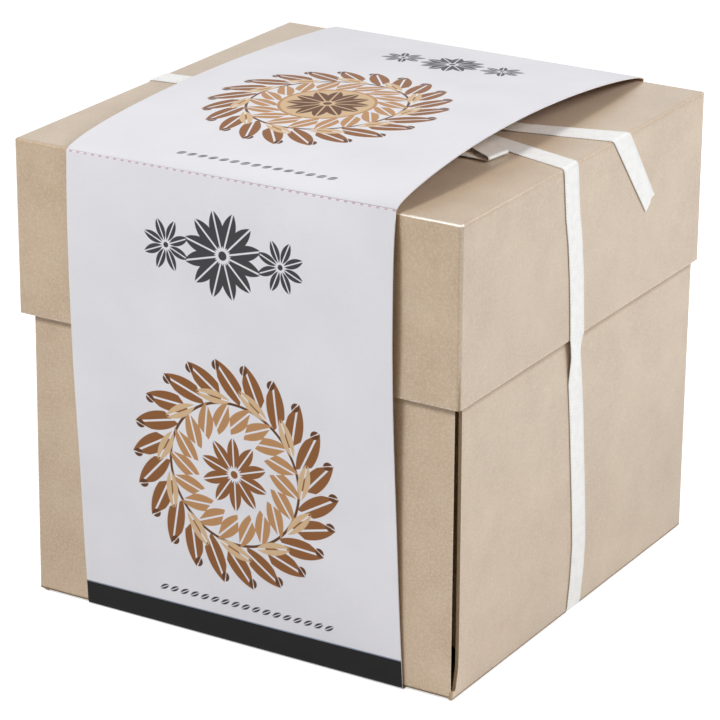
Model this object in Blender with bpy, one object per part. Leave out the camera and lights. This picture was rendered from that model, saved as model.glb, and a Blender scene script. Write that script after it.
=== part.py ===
# Explosion box: a kraft card box under a deep lid, whose four walls fall open when the lid is lifted off.
# Inside are a second cross of card with petals and pockets of cards, and a small box with its own lid.
# A printed paper sleeve goes round it from front to back, and a satin ribbon from left to right.
# Metres, +Z up. The front faces -Y. The origin is on the surface under the middle of the lid.
import math

import bmesh
import bpy
from mathutils import Vector

# Thickness of each material, and the air left between neighbours
board = 0.0009
card = 0.0006
insert_card = 0.00045
pocket_card = 0.0005
paper = 0.00035
satin = 0.0003
gap = 0.0003
overrun = 0.002

# The closed box
lid_side = 0.1248
lid_skirt = 0.0451
box_height = 0.120
play_across = 0.0036
play_along = 0.0016
play_right = 0.00035
play_front = 0.00035
slit_middle = 0.0007
slit_foot = 0.0003

# The inner cross, its petals, pockets and cards
inner_play = 0.00035
inner_drop = 0.0082
petal_play = 0.002
petal_radius = 0.0244
petal_lobe_in = 0.022
petal_rise = 0.0055
pocket_height = 0.056
pocket_side_play = 0.0032
pocket_flange = 0.003
pocket_foot = 0.002
pocket_corner = 0.004
notch_radius = 0.011
notch_drop = 0.002
card_heights = (0.088, 0.079, 0.070)
card_corner = 0.006
card_notch_radius = 0.009

# The small box in the middle
gift_side = 0.070
gift_height = 0.075
gift_lid_skirt = 0.024

# The paper sleeve
sleeve_width = 0.092
sleeve_shift_top = -0.0004
sleeve_shift_foot = 0.0026
arch_left = 0.0042
arch_right = 0.0068
arch_skew_share = 0.85
arch_fullness_share = 0.7
sleeve_foot_play = 0.00025
# How far the loose front and back sheets stand off at their left and right edges, from the top crease down
bow_height_shares = (0.0, 0.085, 0.185, 0.38, 0.67, 1.0)
front_bow_left = (0.0, 0.0007, 0.00075, 0.0002, 0.0, 0.0)
front_bow_right = (0.0, 0.0017, 0.002, 0.0014, 0.0015, 0.0008)
back_bow = (0.0, 0.0008, 0.0009, 0.0005, 0.0004, 0.0003)

# The ribbon, its knot and its bow
ribbon_width = 0.007
knot_x_share = 0.288
knot_y_share = 0.064
knot_length = 0.009
knot_depth = 0.008
knot_height = 0.0028
knot_round = 0.0007
right_edge_y = -0.0103
right_rim_y = -0.0045
right_tuck_y = -0.0035
right_foot_y = 0.0014
left_bend_x = -0.047
left_bend_y = 0.0015
left_edge_y = -0.0009
left_foot_y = 0.0005
rim_tuck = 0.0034
strand_lift = 0.0007
loop_rise = 0.0015
loop_start_out = 0.007
front_loop_start_y = -0.005
front_loop_length = 0.0222
front_loop_angle = -29.8
back_loop_start_y = 0.005
back_loop_length = 0.0275
back_loop_angle = 154.7
tail_start_y = 0.0025
tail_edge_y = 0.0159
tail_edge_width = 0.0087
tail_tip_drop = 0.0218
tail_tip_shift = 0.0171
tail_tip_width = 0.0048
tail_tip_slope = 0.0029
tail_settle_x = 0.038
tail_settle_y = 0.0101
hidden_tail_start_x = -0.002
hidden_tail_mid_x = -0.010
hidden_tail_mid_y = -0.016
hidden_tail_tip_x = -0.024
hidden_tail_tip_y = -0.027

# Heights and places that follow from the sizes above
ribbon_low = paper + gap
base_low = ribbon_low + satin + gap
rim_height = box_height - lid_skirt
wall_top = box_height - board - gap
inner_low = base_low + board + gap
stack_low = inner_low + card + gap
card_low = stack_low + pocket_foot + gap
lid_reach = lid_side / 2
lid_top = box_height + gap
knot_x = lid_reach * knot_x_share
knot_y = lid_reach * knot_y_share
base_width = lid_side - 2 * board - play_across
base_depth = lid_side - 2 * board - play_along
base_x = lid_reach - board - play_right - base_width / 2
base_y = base_depth / 2 + play_front + board - lid_reach
card_count = len(card_heights)
insert_step = insert_card + gap
stack_depth = card + card_count * insert_step + gap + pocket_card
petal_plane = base_depth / 2 - board - inner_play - stack_depth - petal_play
pocket_half = petal_plane - card - pocket_side_play
slot_half = pocket_half - pocket_flange
petal_height = petal_rise + petal_lobe_in + petal_radius * math.sqrt(2)

# Each side's outward direction, its direction along the wall and its reach from the base's centre
sides = {
    "front": (Vector((0, -1, 0)), Vector((1, 0, 0)), base_depth / 2),
    "back": (Vector((0, 1, 0)), Vector((-1, 0, 0)), base_depth / 2),
    "right": (Vector((1, 0, 0)), Vector((0, 1, 0)), base_width / 2),
    "left": (Vector((-1, 0, 0)), Vector((0, -1, 0)), base_width / 2),
}
up = Vector((0, 0, 1))
base_centre = Vector((base_x, base_y, 0))
arc_steps = 14
turn_steps = 8
arch_steps = 18


def clear_scene():
    for old in list(bpy.data.objects):
        bpy.data.objects.remove(old, do_unlink=True)


def make_material(name, colour, roughness):
    made = bpy.data.materials.new(name)
    made.use_nodes = True
    shader = made.node_tree.nodes["Principled BSDF"]
    shader.inputs["Base Color"].default_value = (*colour, 1)
    shader.inputs["Roughness"].default_value = roughness
    shader.inputs["Metallic"].default_value = 0
    made.diffuse_color = (*colour, 1)
    return made


def make_pivot(name, place, parent=None):
    # An empty on a joint's axis, which the moving pieces hang from
    pivot = bpy.data.objects.new(name, None)
    bpy.context.collection.objects.link(pivot)
    pivot.empty_display_size = gap
    pivot["world_place"] = tuple(place)
    if parent is None:
        pivot.location = place
    else:
        pivot.parent = parent
        pivot.location = place - Vector(parent["world_place"])
    return pivot


def make_solid(name, points, faces, material, holder=None):
    # A closed mesh from world points, written about its holder's place
    origin = Vector(holder["world_place"]) if holder else Vector((0, 0, 0))
    mesh = bpy.data.meshes.new(name)
    mesh.from_pydata([point - origin for point in points], [], faces)
    shell = bmesh.new()
    shell.from_mesh(mesh)
    bmesh.ops.recalc_face_normals(shell, faces=shell.faces)
    shell.to_mesh(mesh)
    shell.free()
    mesh.materials.append(material)
    piece = bpy.data.objects.new(name, mesh)
    bpy.context.collection.objects.link(piece)
    piece.parent = holder
    return piece


def make_prism(name, outline, placed, low, high, material, holder=None):
    # An outline carried between two planes, where placed turns an outline point and a depth into a place
    count = len(outline)
    points = [placed(p, q, low) for p, q in outline] + [placed(p, q, high) for p, q in outline]
    faces = [tuple(range(count)), tuple(range(count, 2 * count))]
    for index in range(count):
        after = (index + 1) % count
        faces.append((index, after, count + after, count + index))
    return make_solid(name, points, faces, material, holder)


def make_loft(name, sections, material, holder=None):
    # Four-cornered sections joined in turn, closed at both ends
    points = [corner for section in sections for corner in section]
    corners = len(sections[0])
    faces = [tuple(range(corners)), tuple(range(len(points) - corners, len(points)))]
    for start in range(0, len(points) - corners, corners):
        for index in range(corners):
            after = (index + 1) % corners
            faces.append((start + index, start + after, start + corners + after, start + corners + index))
    return make_solid(name, points, faces, material, holder)


def make_open_box(name, centre, half, wall, closed_z, open_z, material, holder=None):
    # A box with one open end: closed_z is the outside of its flat end and open_z its rim
    inward = wall if open_z > closed_z else -wall
    corners = ((-1, -1), (1, -1), (1, 1), (-1, 1))
    rings = ((half, closed_z), (half, open_z), (half - wall, open_z), (half - wall, closed_z + inward))
    points = [centre + Vector((sx * reach, sy * reach, z)) for reach, z in rings for sx, sy in corners]
    count = len(corners)
    faces = [tuple(range(count)), tuple(range(3 * count, 4 * count))]
    for ring in range(len(rings) - 1):
        for index in range(count):
            after = (index + 1) % count
            low = ring * count
            faces.append((low + index, low + after, low + count + after, low + count + index))
    return make_solid(name, points, faces, material, holder)


def on_side(side, along, out, height):
    # A place on one side: along the wall, out from the base's centre, and up
    normal, direction, _ = sides[side]
    return base_centre + direction * along + normal * out + up * height


def make_panel(name, side, outline, out_low, out_high, foot, material, holder=None):
    # A flat piece that stands parallel to one side of the box
    def placed(along, height, out):
        return on_side(side, along, out, foot + height)

    return make_prism(name, outline, placed, out_low, out_high, material, holder)


def rectangle(half, height):
    return [(-half, 0), (half, 0), (half, height), (-half, height)]


def arc(centre_a, centre_b, radius, start, stop, steps):
    angles = [start + (stop - start) * step / steps for step in range(steps + 1)]
    return [(centre_a + radius * math.cos(t), centre_b + radius * math.sin(t)) for t in angles]


def bowed_outline(half, height):
    # A wall whose side edges draw in at mid height, which leaves the narrow slit at the box's corners
    heights = [height * step / turn_steps for step in range(turn_steps + 1)]
    insets = [(slit_middle - slit_foot) * math.sin(math.pi * rise / height) for rise in heights]
    outline = [(half - inset, rise) for inset, rise in zip(insets, heights)]
    outline += [(inset - half, rise) for inset, rise in zip(reversed(insets), reversed(heights))]
    return outline


def notched_outline(half, height, corner, notch, drop):
    # A card with two rounded top corners and a thumb notch, an arc whose centre is drop above the top edge
    dip = math.asin(drop / notch)
    outline = [(-half, 0), (half, 0)]
    outline += arc(half - corner, height - corner, corner, 0, math.pi / 2, turn_steps)
    outline += arc(0, height + drop, notch, -dip, dip - math.pi, arc_steps)
    outline += arc(corner - half, height - corner, corner, math.pi / 2, math.pi, turn_steps)
    return outline


def petal_outline():
    # Half a heart: a straight edge at 45 degrees from the foot of the fold, and a round lobe above it
    root = card + gap
    top = math.acos((root - petal_lobe_in) / petal_radius)
    outline = [(root, petal_rise + root)]
    outline += arc(petal_lobe_in, petal_height, petal_radius, -math.pi / 4, top, arc_steps)
    return outline


def make_cutter(piece, cutter):
    cutter.hide_render = True
    cutter.display_type = "WIRE"
    cutter.hide_set(True)
    cut = piece.modifiers.new(cutter.name, "BOOLEAN")
    cut.operation = "DIFFERENCE"
    cut.solver = "EXACT"
    cut.object = cutter


def make_floors(kraft):
    half_x = base_width / 2 - board - gap
    half_y = base_depth / 2 - board - gap

    def placed(x, y, z):
        return base_centre + Vector((x, y, z))

    outer = [(-half_x, -half_y), (half_x, -half_y), (half_x, half_y), (-half_x, half_y)]
    make_prism("base_floor", outer, placed, base_low, base_low + board, kraft)
    in_x = base_width / 2 - board - inner_play - card - gap
    in_y = base_depth / 2 - board - inner_play - card - gap
    inner = [(-in_x, -in_y), (in_x, -in_y), (in_x, in_y), (-in_x, in_y)]
    make_prism("inner_floor", inner, placed, inner_low, inner_low + card, kraft)


def make_outer_wall(side, kraft):
    # The front and back walls end short of the side walls, so that each can fall by itself
    reach = sides[side][2]
    holder = make_pivot(side + "_wall_pivot", on_side(side, 0, reach, base_low))
    height = wall_top - base_low
    if side in ("front", "back"):
        outline = bowed_outline(base_width / 2 - board - slit_foot, height)
    else:
        outline = rectangle(base_depth / 2, height)
    make_panel(side + "_wall", side, outline, reach - board, reach, base_low, kraft, holder)
    return holder


def make_inner_side(side, kraft, dark_kraft):
    # The inner wall of one side with its pocket, the three cards in it and, left and right, two petals
    reach = sides[side][2] - board - inner_play
    pivot_place = on_side(side, 0, reach, inner_low)
    holder = make_pivot(side + "_inner_pivot", pivot_place)
    height = wall_top - inner_drop - inner_low
    face = reach - card
    if side in ("front", "back"):
        half = base_width / 2 - board - inner_play - card - gap
    else:
        half = petal_plane
    make_panel(side + "_inner_wall", side, rectangle(half, height), face, reach, inner_low, kraft, holder)
    make_pocket(side, face, dark_kraft, holder)
    make_cards(side, face, dark_kraft, holder)
    if side in ("left", "right"):
        make_petals(side, reach, kraft, holder)


def make_pocket(side, face, material, holder):
    out = face - gap
    panel_out = face - card_count * insert_step - gap
    panel_in = panel_out - pocket_card
    outline = notched_outline(pocket_half, pocket_height, pocket_corner, notch_radius, notch_drop)
    pocket = make_panel(side + "_pocket", side, outline, panel_in, out, stack_low, material, holder)
    slot = rectangle(slot_half, pocket_height + overrun)
    cutter = make_panel(
        side + "_slot_cutter", side, slot, panel_out, out + overrun, stack_low + pocket_foot, material, holder
    )
    make_cutter(pocket, cutter)


def make_cards(side, face, material, holder):
    # Three loose cards in the pocket, the tallest against the wall, which slide up together
    slide = make_pivot(side + "_cards_slide", on_side(side, 0, face, card_low), holder)
    for index, height in enumerate(card_heights):
        out = face - gap - index * insert_step
        outline = notched_outline(slot_half - gap, height, card_corner, card_notch_radius, notch_drop)
        label = side + "_card_" + str(index + 1)
        make_panel(label, side, outline, out - insert_card, out, card_low, material, slide)


def make_petals(side, reach, material, holder):
    # One petal at each upright edge of the inner wall, folded in against the pockets in front and behind
    direction = sides[side][1]
    for end in (-1, 1):
        facing = "back" if end * direction.y > 0 else "front"
        name = side + "_" + facing + "_petal"
        hinge = make_pivot(name + "_pivot", on_side(side, end * petal_plane, reach, inner_low), holder)

        def placed(inward, height, along):
            return on_side(side, along, reach - inward, inner_low + height)

        near = end * (petal_plane - card)
        make_prism(name, petal_outline(), placed, near, end * petal_plane, material, hinge)


def make_gift_box(kraft):
    foot = stack_low
    rim = foot + gift_height
    make_open_box("gift_body", base_centre, gift_side / 2, card, foot, rim, kraft)
    top = rim + gap + card
    holder = make_pivot("gift_lid_slide", base_centre + up * rim)
    half = gift_side / 2 + gap + card
    make_open_box("gift_lid", base_centre, half, card, top, top - gift_lid_skirt, kraft, holder)


def make_lid(kraft):
    holder = make_pivot("lid_slide", Vector((0, 0, box_height)))
    make_open_box("lid_shell", Vector((0, 0, 0)), lid_reach, board, box_height, rim_height, kraft, holder)
    return holder


def arch_share(share):
    # How high the sleeve's top stands, from 0 at the front crease over its crest to 0 at the back crease
    return math.sin(math.pi * share**arch_skew_share) ** arch_fullness_share


def make_sleeve(print_paper, lid, front_wall, back_wall):
    half = sleeve_width / 2
    lid_face = lid_reach + gap
    top_edge = lid_face + paper
    slide = make_pivot("sleeve_top_slide", Vector((0, 0, lid_top)), lid)
    sections = []
    for step in range(arch_steps + 1):
        share = step / arch_steps
        rise = arch_share(share) if 0 < step < arch_steps else 0
        y = top_edge * (2 * share - 1)
        low_left = lid_top + arch_left * rise
        low_right = lid_top + arch_right * rise
        left = sleeve_shift_top - half
        right = sleeve_shift_top + half
        corners = ((left, low_left), (right, low_right), (right, low_right + paper), (left, low_left + paper))
        sections.append([Vector((x, y, z)) for x, z in corners])
    make_loft("sleeve_top", sections, print_paper, slide)

    bows = {"front": (front_bow_left, front_bow_right), "back": (back_bow, back_bow)}
    rim_share = lid_skirt / (box_height - ribbon_low)
    for side, wall in (("front", front_wall), ("back", back_wall)):
        facing = sides[side][0]
        slide = make_pivot("sleeve_" + side + "_slide", facing * lid_face + up * rim_height, wall)
        sections = []
        for share, bow_left, bow_right in zip(bow_height_shares, *bows[side]):
            # Below the lid's rim the sheet drifts to the right, as the whole sleeve sits a little askew
            drift = max(share - rim_share, 0) / (1 - rim_share)
            shift = sleeve_shift_top + (sleeve_shift_foot - sleeve_shift_top) * drift
            z = box_height - (box_height - ribbon_low) * share
            left = Vector((shift - half, 0, z)) + facing * (lid_face + bow_left)
            right = Vector((shift + half, 0, z)) + facing * (lid_face + bow_right)
            sections.append([left, right, right + facing * paper, left + facing * paper])
        make_loft("sleeve_" + side, sections, print_paper, slide)

    slide = make_pivot("sleeve_bottom_slide", Vector((sleeve_shift_foot, base_y, 0)))
    reach = base_depth / 2 - sleeve_foot_play

    def placed(x, y, z):
        return Vector((sleeve_shift_foot + x, base_y + y, z))

    sheet = [(-half, -reach), (half, -reach), (half, reach), (-half, reach)]
    make_prism("sleeve_bottom", sheet, placed, 0, paper, print_paper, slide)


def make_strip(name, stations, material, holder=None, thickness=satin):
    # A flat ribbon along stations of (place on its inner face, width across), mitred where it bends
    places = [Vector(place) for place, _ in stations]
    widths = [Vector(width) for _, width in stations]
    normals = []
    for index in range(len(places) - 1):
        run = places[index + 1] - places[index]
        normals.append(run.cross(widths[index] + widths[index + 1]).normalized())
    sections = []
    for index, (place, width) in enumerate(zip(places, widths)):
        before = normals[max(index - 1, 0)]
        after = normals[min(index, len(normals) - 1)]
        mitre = (before + after).normalized()
        lift = mitre * (thickness / mitre.dot(before))
        side = width / 2
        sections.append([place - side, place + side, place + side + lift, place - side + lift])
    return make_loft(name, sections, material, holder)


def make_ribbon(satin_white, lid, left_wall, right_wall):
    across = Vector((0, ribbon_width, 0))
    face = lid_reach + gap
    start = knot_length / 2 + gap
    rim_low = rim_height + gap
    right_x = base_x + base_width / 2
    left_x = base_x - base_width / 2

    right_run = [
        ((knot_x + start, knot_y - tail_start_y, lid_top), across),
        ((face, right_edge_y, lid_top), across),
        ((face, right_rim_y, rim_low), across),
    ]
    make_strip("ribbon_lid_right", right_run, satin_white, lid)
    left_run = [
        ((-face, left_edge_y, rim_low), across),
        ((-face, left_edge_y, lid_top), across),
        ((left_bend_x, left_bend_y, lid_top), across),
        ((knot_x - start, knot_y, lid_top), across),
    ]
    make_strip("ribbon_lid_left", left_run, satin_white, lid)

    tuck_z = rim_height - gap
    right_fall = [
        ((right_x + 2 * gap, right_rim_y, tuck_z), across),
        ((right_x + gap, right_tuck_y, rim_height - rim_tuck), across),
        ((right_x + gap, right_foot_y, base_low), across),
    ]
    make_strip("ribbon_wall_right", right_fall, satin_white, right_wall)
    left_fall = [
        ((left_x - gap, left_foot_y, base_low), across),
        ((gap - lid_reach, left_edge_y, tuck_z), across),
    ]
    make_strip("ribbon_wall_left", left_fall, satin_white, left_wall)
    under = [
        ((left_x + satin, left_foot_y, ribbon_low), across),
        ((right_x - satin, right_foot_y, ribbon_low), across),
    ]
    make_strip("ribbon_under", under, satin_white)


def make_bow(satin_white, lid):
    middle = Vector((knot_x, knot_y, lid_top))
    half_x = knot_length / 2
    half_y = knot_depth / 2

    def placed(x, y, z):
        return middle + Vector((x, y, z))

    outline = [(-half_x, -half_y), (half_x, -half_y), (half_x, half_y), (-half_x, half_y)]
    knot = make_prism("ribbon_knot", outline, placed, 0, knot_height, satin_white, lid)
    rounding = knot.modifiers.new("rounding", "BEVEL")
    rounding.width = knot_round
    rounding.segments = 2

    front_start = Vector((knot_x + loop_start_out, knot_y + front_loop_start_y, lid_top + strand_lift))
    make_loop("ribbon_loop_front", front_start, front_loop_length, front_loop_angle, satin_white, lid)
    back_start = Vector((knot_x - loop_start_out, knot_y + back_loop_start_y, lid_top + strand_lift))
    make_loop("ribbon_loop_back", back_start, back_loop_length, back_loop_angle, satin_white, lid)

    across = Vector((0, ribbon_width, 0))
    start = half_x + gap
    face = lid_reach + gap
    lifted = lid_top + strand_lift
    tip_z = lid_top - tail_tip_drop
    tail = [
        ((knot_x + start, knot_y + tail_start_y, lifted), across),
        ((tail_settle_x, tail_settle_y, lid_top), across),
        ((face, tail_edge_y, lid_top), Vector((0, tail_edge_width, 0))),
        ((face, tail_edge_y + tail_tip_shift, tip_z), Vector((0, tail_tip_width, tail_tip_slope))),
    ]
    make_strip("ribbon_tail_right", tail, satin_white, lid)

    width = Vector((ribbon_width, 0, 0))
    hidden = [
        ((knot_x + hidden_tail_start_x, knot_y - half_y - gap, lifted), width),
        ((knot_x + hidden_tail_mid_x, knot_y + hidden_tail_mid_y, lid_top), width),
        ((knot_x + hidden_tail_tip_x, knot_y + hidden_tail_tip_y, lid_top), width),
    ]
    hidden.reverse()
    make_strip("ribbon_tail_hidden", hidden, satin_white, lid)


def make_loop(name, origin, length, angle, material, holder):
    # A bow's loop: out along the lid, round a small turn, and back above itself
    turn = math.radians(angle)
    out = Vector((math.cos(turn), math.sin(turn), 0))
    across = Vector((-out.y, out.x, 0)) * ribbon_width
    radius = loop_rise / 2
    stations = [(origin, across)]
    for step in range(turn_steps + 1):
        swing = math.pi * (step / turn_steps) - math.pi / 2
        reach = length - radius + radius * math.cos(swing)
        rise = radius + radius * math.sin(swing)
        stations.append((origin + out * reach + up * rise, across))
    stations.append((origin + up * loop_rise, across))
    make_strip(name, stations, material, holder)


def build():
    clear_scene()
    kraft = make_material("kraft_board", (0.55, 0.41, 0.27), 0.85)
    dark_kraft = make_material("kraft_card", (0.45, 0.31, 0.19), 0.85)
    print_paper = make_material("printed_paper", (0.80, 0.80, 0.83), 0.55)
    satin_white = make_material("satin_ribbon", (0.87, 0.87, 0.85), 0.35)
    make_floors(kraft)
    walls = {side: make_outer_wall(side, kraft) for side in sides}
    for side in sides:
        make_inner_side(side, kraft, dark_kraft)
    make_gift_box(kraft)
    lid = make_lid(kraft)
    make_sleeve(print_paper, lid, walls["front"], walls["back"])
    make_ribbon(satin_white, lid, walls["left"], walls["right"])
    make_bow(satin_white, lid)


build()
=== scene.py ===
# Looks of the explosion box: kraft card, a printed paper sleeve and a satin ribbon, dressed round the
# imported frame. Shapes are worked out in millimetres in the frame's axes and put into meshes in metres
import math

import bmesh
import bpy
import numpy as np
from mathutils import Matrix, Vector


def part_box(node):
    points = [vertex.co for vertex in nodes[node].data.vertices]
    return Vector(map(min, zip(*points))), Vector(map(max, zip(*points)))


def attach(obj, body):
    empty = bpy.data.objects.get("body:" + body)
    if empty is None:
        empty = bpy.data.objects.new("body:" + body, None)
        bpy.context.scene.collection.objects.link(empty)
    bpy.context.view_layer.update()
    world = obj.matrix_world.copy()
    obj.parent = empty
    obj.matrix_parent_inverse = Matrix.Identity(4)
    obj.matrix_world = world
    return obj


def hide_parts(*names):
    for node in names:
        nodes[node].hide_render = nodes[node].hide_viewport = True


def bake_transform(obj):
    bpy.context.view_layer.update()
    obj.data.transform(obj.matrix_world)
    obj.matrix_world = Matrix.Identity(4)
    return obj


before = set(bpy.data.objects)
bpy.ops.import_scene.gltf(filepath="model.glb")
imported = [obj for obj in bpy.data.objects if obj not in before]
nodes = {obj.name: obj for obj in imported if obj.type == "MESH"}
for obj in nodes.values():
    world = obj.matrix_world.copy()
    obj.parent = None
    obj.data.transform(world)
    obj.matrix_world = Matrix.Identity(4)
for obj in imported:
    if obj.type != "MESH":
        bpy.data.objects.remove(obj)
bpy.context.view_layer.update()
mm = 0.001
print("frame loaded:", len(nodes), "nodes")


def boxOf(node):
    # Lowest and highest corner of a node in mm
    low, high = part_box(node)
    return np.array(low) / mm, np.array(high) / mm


# The camera, fitted to thirteen corners of the photo
camera = {
    "place": (419.078, -699.459, 368.270),
    "right": (0.856703, 0.515779, 0.005647),
    "up": (-0.186928, 0.300244, 0.935367),
    "forward": (-0.480747, 0.802388, -0.353633),
    "lens": 171.506,
    "shift": (-0.00874, -0.0275),
}


def standAt(data, right, up, back, place):
    # An object that shows the data, with its right, up and backward axes as the columns of its pose
    holder = bpy.data.objects.new(data.name, data)
    bpy.context.collection.objects.link(holder)
    pose = np.eye(4)
    pose[:3, :3] = np.stack([right, up, back], 1)
    pose[:3, 3] = np.array(place) * mm
    holder.matrix_world = Matrix(pose.tolist())
    return holder


def makeCamera():
    # A camera looks along its own -z, so its backward axis is the view turned round
    data = bpy.data.cameras.new("camera")
    data.lens = camera["lens"]
    data.sensor_width = 36
    data.shift_x, data.shift_y = camera["shift"]
    data.clip_start, data.clip_end = 0.05, 20
    back = -np.array(camera["forward"])
    bpy.context.scene.camera = standAt(data, camera["right"], camera["up"], back, camera["place"])


makeCamera()


def toLinear(hexCode):
    # An sRGB hex colour as linear RGBA
    parts = np.array([int(hexCode[k:k + 2], 16) for k in (0, 2, 4)]) / 255
    linear = np.where(parts <= 0.04045, parts / 12.92, ((parts + 0.055) / 1.055) ** 2.4)
    return (*map(float, linear), 1.0)


def addNode(tree, kind, *inputs, out=0, at=None, **settings):
    # Adds a shader node, applies its settings, fills its inputs in order and by name, and gives one output
    node = tree.nodes.new("ShaderNode" + kind)
    for name, value in settings.items():
        setattr(node, name, value)
    filled = [(key, value) for key, value in enumerate(inputs) if value is not None]
    for key, value in filled + list((at or {}).items()):
        if isinstance(value, bpy.types.NodeSocket):
            tree.links.new(value, node.inputs[key])
        else:
            node.inputs[key].default_value = value
    return node.outputs[out]


def startMaterial(name, **finish):
    # A new material with its Principled shader, whose plain
    # finish values are set on the shader's own sockets
    made = bpy.data.materials.new(name)
    made.use_nodes = True
    tree = made.node_tree
    shader = tree.nodes["Principled BSDF"]
    for socket, value in finish.items():
        shader.inputs[socket.replace("_", " ")].default_value = value
    return made, tree, shader


def mmCoords(tree):
    # Object coordinates in millimetres
    coords = addNode(tree, "TexCoord", out="Object")
    return addNode(tree, "VectorMath", coords, at={"Scale": 1 / mm}, operation="SCALE")


def paintOver(tree, under, share, hexCode):
    # A colour laid over what is there: (1 - share) * under + share * colour
    return addNode(tree, "Mix", share, at={6: under, 7: toLinear(hexCode)}, out=2, data_type="RGBA")


def finishSurface(tree, shader, colour, relief, reliefMm, strength):
    # The colour, and a relief of the given depth, go to the shader
    tree.links.new(colour, shader.inputs["Base Color"])
    bump = addNode(tree, "Bump", at={"Height": relief, "Distance": reliefMm * mm, "Strength": strength})
    tree.links.new(bump, shader.inputs["Normal"])


# Kraft board, calendered: a smooth brown sheet where short
# fibres lie both ways, with a few dark and pale specks
kraftLooks = {
    "box": {
        # The box's worn colour also paints the highlight along the lid's front top edge
        "base": "B99E7C", "deep": "A58661", "pale": "CFBDA2", "speck": "6F5539", "worn": "F6EFE2",
        "rough": 0.62, "gloss": 1.0, "fuzz": 0.5,
    },
    "inner": {
        "base": "BC9D78", "deep": "A4835B", "pale": "CFB898", "speck": "6A4D30", "worn": "DCCBB0",
        "rough": 0.78, "gloss": 0.15, "fuzz": 0.2,
    },
    "card": {
        "base": "A5845F", "deep": "8C6A46", "pale": "B99B78", "speck": "543A22", "worn": "CDB596",
        "rough": 0.8, "gloss": 0.05, "fuzz": 0.15,
    },
    "cloudMm": 14.0,
    "grainMm": 0.55,
    "alongFibre": 0.45,
    "acrossFibre": 3.2,
    "speckMm": 1.5,
    "speckReach": 0.12,
    "speckRarity": 0.87,
    "speckDepth": 0.35,
    "wornGrain": 0.8,
    "wornRange": (0.6, 1.4),
    "wornDepth": 0.95,
}


def kraftMaterial(name, kind):
    looks = kraftLooks[kind]
    made, tree, shader = startMaterial(
        name, Roughness=looks["rough"], Specular_IOR_Level=0.3, Coat_Roughness=0.36, Coat_IOR=1.9,
        Sheen_Roughness=0.45,
    )
    place = mmCoords(tree)
    cloudScale, grainScale = 1 / kraftLooks["cloudMm"], 1 / kraftLooks["grainMm"]
    cloud = addNode(tree, "TexNoise", place, at={"Scale": cloudScale, "Detail": 5.0, "Roughness": 0.6})
    grain = addNode(tree, "TexNoise", place, at={"Scale": grainScale, "Detail": 4.0, "Roughness": 0.7})
    # Fibres: noise drawn out one way, and again the other way, about 2 mm long and a quarter of a mm wide
    along, across = kraftLooks["alongFibre"], kraftLooks["acrossFibre"]
    drawn = []
    for stretch in ((along, along, across), (across, across, along)):
        squeezed = addNode(tree, "VectorMath", place, stretch, operation="MULTIPLY")
        detail = {"Scale": 1.0, "Detail": 3.0, "Distortion": 0.6}
        drawn.append(addNode(tree, "TexNoise", squeezed, at=detail))
    fibres = addNode(tree, "Math", *drawn, operation="MAXIMUM")
    # Each layer shows where its noise lies between two values, up to its own share
    layers = (
        (cloud, 0.3, 0.7, 1.0, "deep"), (grain, 0.42, 0.75, 0.6, "pale"), (fibres, 0.56, 0.74, 0.5, "deep"),
    )
    colour = toLinear(looks["base"])
    for noise, low, high, most, tint in layers:
        share = addNode(tree, "MapRange", noise, low, high, 0.0, most)
        colour = paintOver(tree, colour, share, looks[tint])
    # Specks: one in eight cells of a Voronoi pattern holds a faint bark speck about 0.3 mm across
    cells = tree.nodes.new("ShaderNodeTexVoronoi")
    cells.inputs["Scale"].default_value = 1 / kraftLooks["speckMm"]
    tree.links.new(place, cells.inputs["Vector"])
    near = addNode(tree, "Math", cells.outputs["Distance"], kraftLooks["speckReach"], operation="LESS_THAN")
    chosen = addNode(tree, "SeparateColor", cells.outputs["Color"])
    few = addNode(tree, "Math", chosen, kraftLooks["speckRarity"], operation="GREATER_THAN")
    speck = addNode(tree, "Math", near, few, operation="MULTIPLY")
    speck = addNode(tree, "Math", speck, kraftLooks["speckDepth"], operation="MULTIPLY")
    colour = paintOver(tree, colour, speck, looks["speck"])
    # Wear: folds and edges rub pale, broken up a little by the grain. On the lid's front top edge the same
    # pale colour is a painted highlight
    worn = addNode(tree, "Attribute", attribute_name="wear", out="Fac")
    wearAndGlint = addNode(tree, "Math", grain, kraftLooks["wornGrain"], worn, operation="MULTIPLY_ADD")
    wearAndGlint = addNode(tree, "MapRange", wearAndGlint, *kraftLooks["wornRange"], 0.0, kraftLooks["wornDepth"])
    colour = paintOver(tree, colour, wearAndGlint, looks["worn"])
    # Painted shade: where a fold turns under, just below the lid's rim and down the lid's upright corners a
    # dark colour is painted, without shine or a pile of fibres. At a corner's foot the same mark is a real
    # scuff
    shadeAndScuff = addNode(tree, "Attribute", attribute_name="shadeAndScuff", out="Fac")
    colour = paintOver(tree, colour, shadeAndScuff, looks["speck"])
    for socket, key in (("Coat Weight", "gloss"), ("Sheen Weight", "fuzz")):
        weight = addNode(tree, "MapRange", shadeAndScuff, 0.0, 0.6, looks[key], 0.0)
        tree.links.new(weight, shader.inputs[socket])
    height = addNode(tree, "Math", grain, fibres, operation="ADD")
    finishSurface(tree, shader, colour, height, reliefMm=0.04, strength=0.35)
    return made


# Board cut with a guillotine: a slightly darker, rougher edge where the plies show as fine lines
def cutEdgeMaterial(name, light, dark):
    made, tree, shader = startMaterial(name, Roughness=0.85, Specular_IOR_Level=0.25)
    plies = addNode(tree, "TexNoise", mmCoords(tree), at={"Scale": 3.2, "Detail": 3.0, "Roughness": 0.7})
    shade = addNode(tree, "MapRange", plies, 0.35, 0.68, 0.0, 1.0)
    colour = paintOver(tree, toLinear(light), shade, dark)
    finishSurface(tree, shader, colour, plies, reliefMm=0.06, strength=0.5)
    return made


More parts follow.
